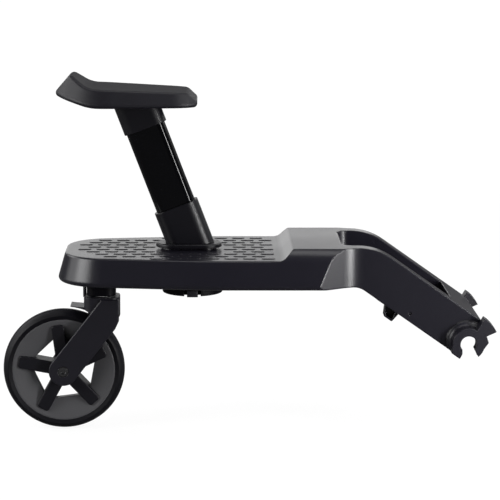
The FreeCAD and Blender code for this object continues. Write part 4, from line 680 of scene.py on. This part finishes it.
world = bpy.data.worlds.new("studio")
bpy.context.scene.world = world
world.use_nodes = True
sky_tree = world.node_tree
sky_tree.nodes.clear()
sky = Socket(sky_tree)
direction = sky.node("ShaderNodeTexCoord", None, None, "Generated")
right = sky.node("ShaderNodeSeparateXYZ", None, {0: direction})
behind, above = right.other("Y"), right.other("Z")
back_wall = clamped(behind * BACK_SPREAD) * clamped((above - BACK_FROM) * BACK_STEEP)
level = FRONT_LEVEL + back_wall * (BACK_LEVEL + right * BACK_RIGHT)
strength = level + ray_kinds(sky)[0] * (1 - level)
backdrop = sky.node("ShaderNodeBackground", None, {"Color": WHITE, "Strength": strength})
sky_out = sky_tree.nodes.new("ShaderNodeOutputWorld")
sky_tree.links.new(backdrop.output, sky_out.inputs["Surface"])
print("light of the front:", FRONT_LEVEL, "added behind:", BACK_LEVEL)

# %% [markdown]
# Black plastic shows almost only what it mirrors, so one broad lamp would leave it flat. Most of the
# soft boxes stand where one surface mirrors them to the camera. The two on the left draw the pale
# patch on the deck's nose. The strip and the fill on the right draw the band on the waist, and the
# post's strip draws the bright line on the tube. The low box behind lifts the deck's top to grey.
# The high ones fill in walls and tops from every side. The strips are low or narrow, to spare the
# tops. One cost remains: seen from behind on the left, the neck's top mirrors the post's strip and
# turns white.

# %% Soft boxes
NOSE = (-0.48, -0.06, 0.09)
WAIST = (-0.16, -0.09, 0.09)
POST = (-0.36, -0.02, 0.20)
NECK = (-0.24, 0.0, 0.1)
DECK = (-0.3, 0.0, 0.1)
BOARD = (-0.25, 0.0, 0.1)
LAMPS = [  # name, place, what it faces, width, height, watts
    ("left_box", (-1.68, -0.62, 0.62), NOSE, 0.8, 0.7, 13.0),
    ("left_far", (-1.75, -0.10, 0.50), NOSE, 1.2, 0.9, 8.0),
    ("right_strip", (0.51, -0.70, 0.06), WAIST, 0.16, 0.28, 6.4),
    ("right_fill", (0.78, -0.43, -0.01), WAIST, 0.4, 0.22, 1.1),
    ("post_strip", (0.62, -0.60, 0.33), POST, 0.08, 0.44, 4.5),
    ("right_high", (1.20, -0.90, 1.50), WAIST, 1.6, 1.2, 17.0),
    ("back_box", (-0.34, 0.9, 0.205), NECK, 0.8, 0.25, 0.93),
    ("top_box", (-0.3, -0.1, 1.6), DECK, 1.2, 0.8, 8.0),
    ("rear_left", (-2.0, 1.2, 1.30), BOARD, 1.2, 1.0, 13.0),
    ("rear_right", (1.4, 1.2, 1.30), BOARD, 1.2, 1.0, 13.0),
]


def soft_box(name, place, target, width, height, power):
    lamp = bpy.data.lights.new(name, "AREA")
    lamp.shape = "RECTANGLE"
    lamp.size = width
    lamp.size_y = height
    lamp.energy = power
    holder = bpy.data.objects.new(name, lamp)
    holder.location = place
    aim = Vector(target) - Vector(place)
    holder.rotation_euler = aim.to_track_quat("-Z", "Y").to_euler()
    holder.visible_camera = False
    bpy.context.scene.collection.objects.link(holder)


for lamp in LAMPS:
    soft_box(*lamp)
print("soft boxes:", len(LAMPS))

# %% [markdown]
# The camera stands about two and a half metres away, a little above the deck, and looks at the
# board's side. A long lens keeps the wheel nearly round, as in the photograph. A constraint could
# point it at the board, but its angles were fitted to the photograph, so they are set: a turn about
# the upright axis, a tilt, and a slight roll about the line of sight.

# %% Camera
LENS = 145.07
SENSOR = 36.0
CAMERA_PLACE = (-0.3235, -2.4811, 0.5259)
TURN, TILT, ROLL = (math.radians(angle) for angle in (-1.368, 80.266, 0.257))

camera_data = bpy.data.cameras.new("camera")
camera_data.lens = LENS
camera_data.sensor_width = SENSOR
camera = bpy.data.objects.new("camera", camera_data)
camera.location = CAMERA_PLACE
aimed = Matrix.Rotation(TURN, 3, "Z") @ Matrix.Rotation(TILT, 3, "X")
camera.rotation_euler = (aimed @ Matrix.Rotation(ROLL, 3, "Z")).to_euler()
bpy.context.scene.collection.objects.link(camera)
bpy.context.scene.camera = camera
bpy.context.scene.view_settings.view_transform = "Standard"
print("lens:", LENS)
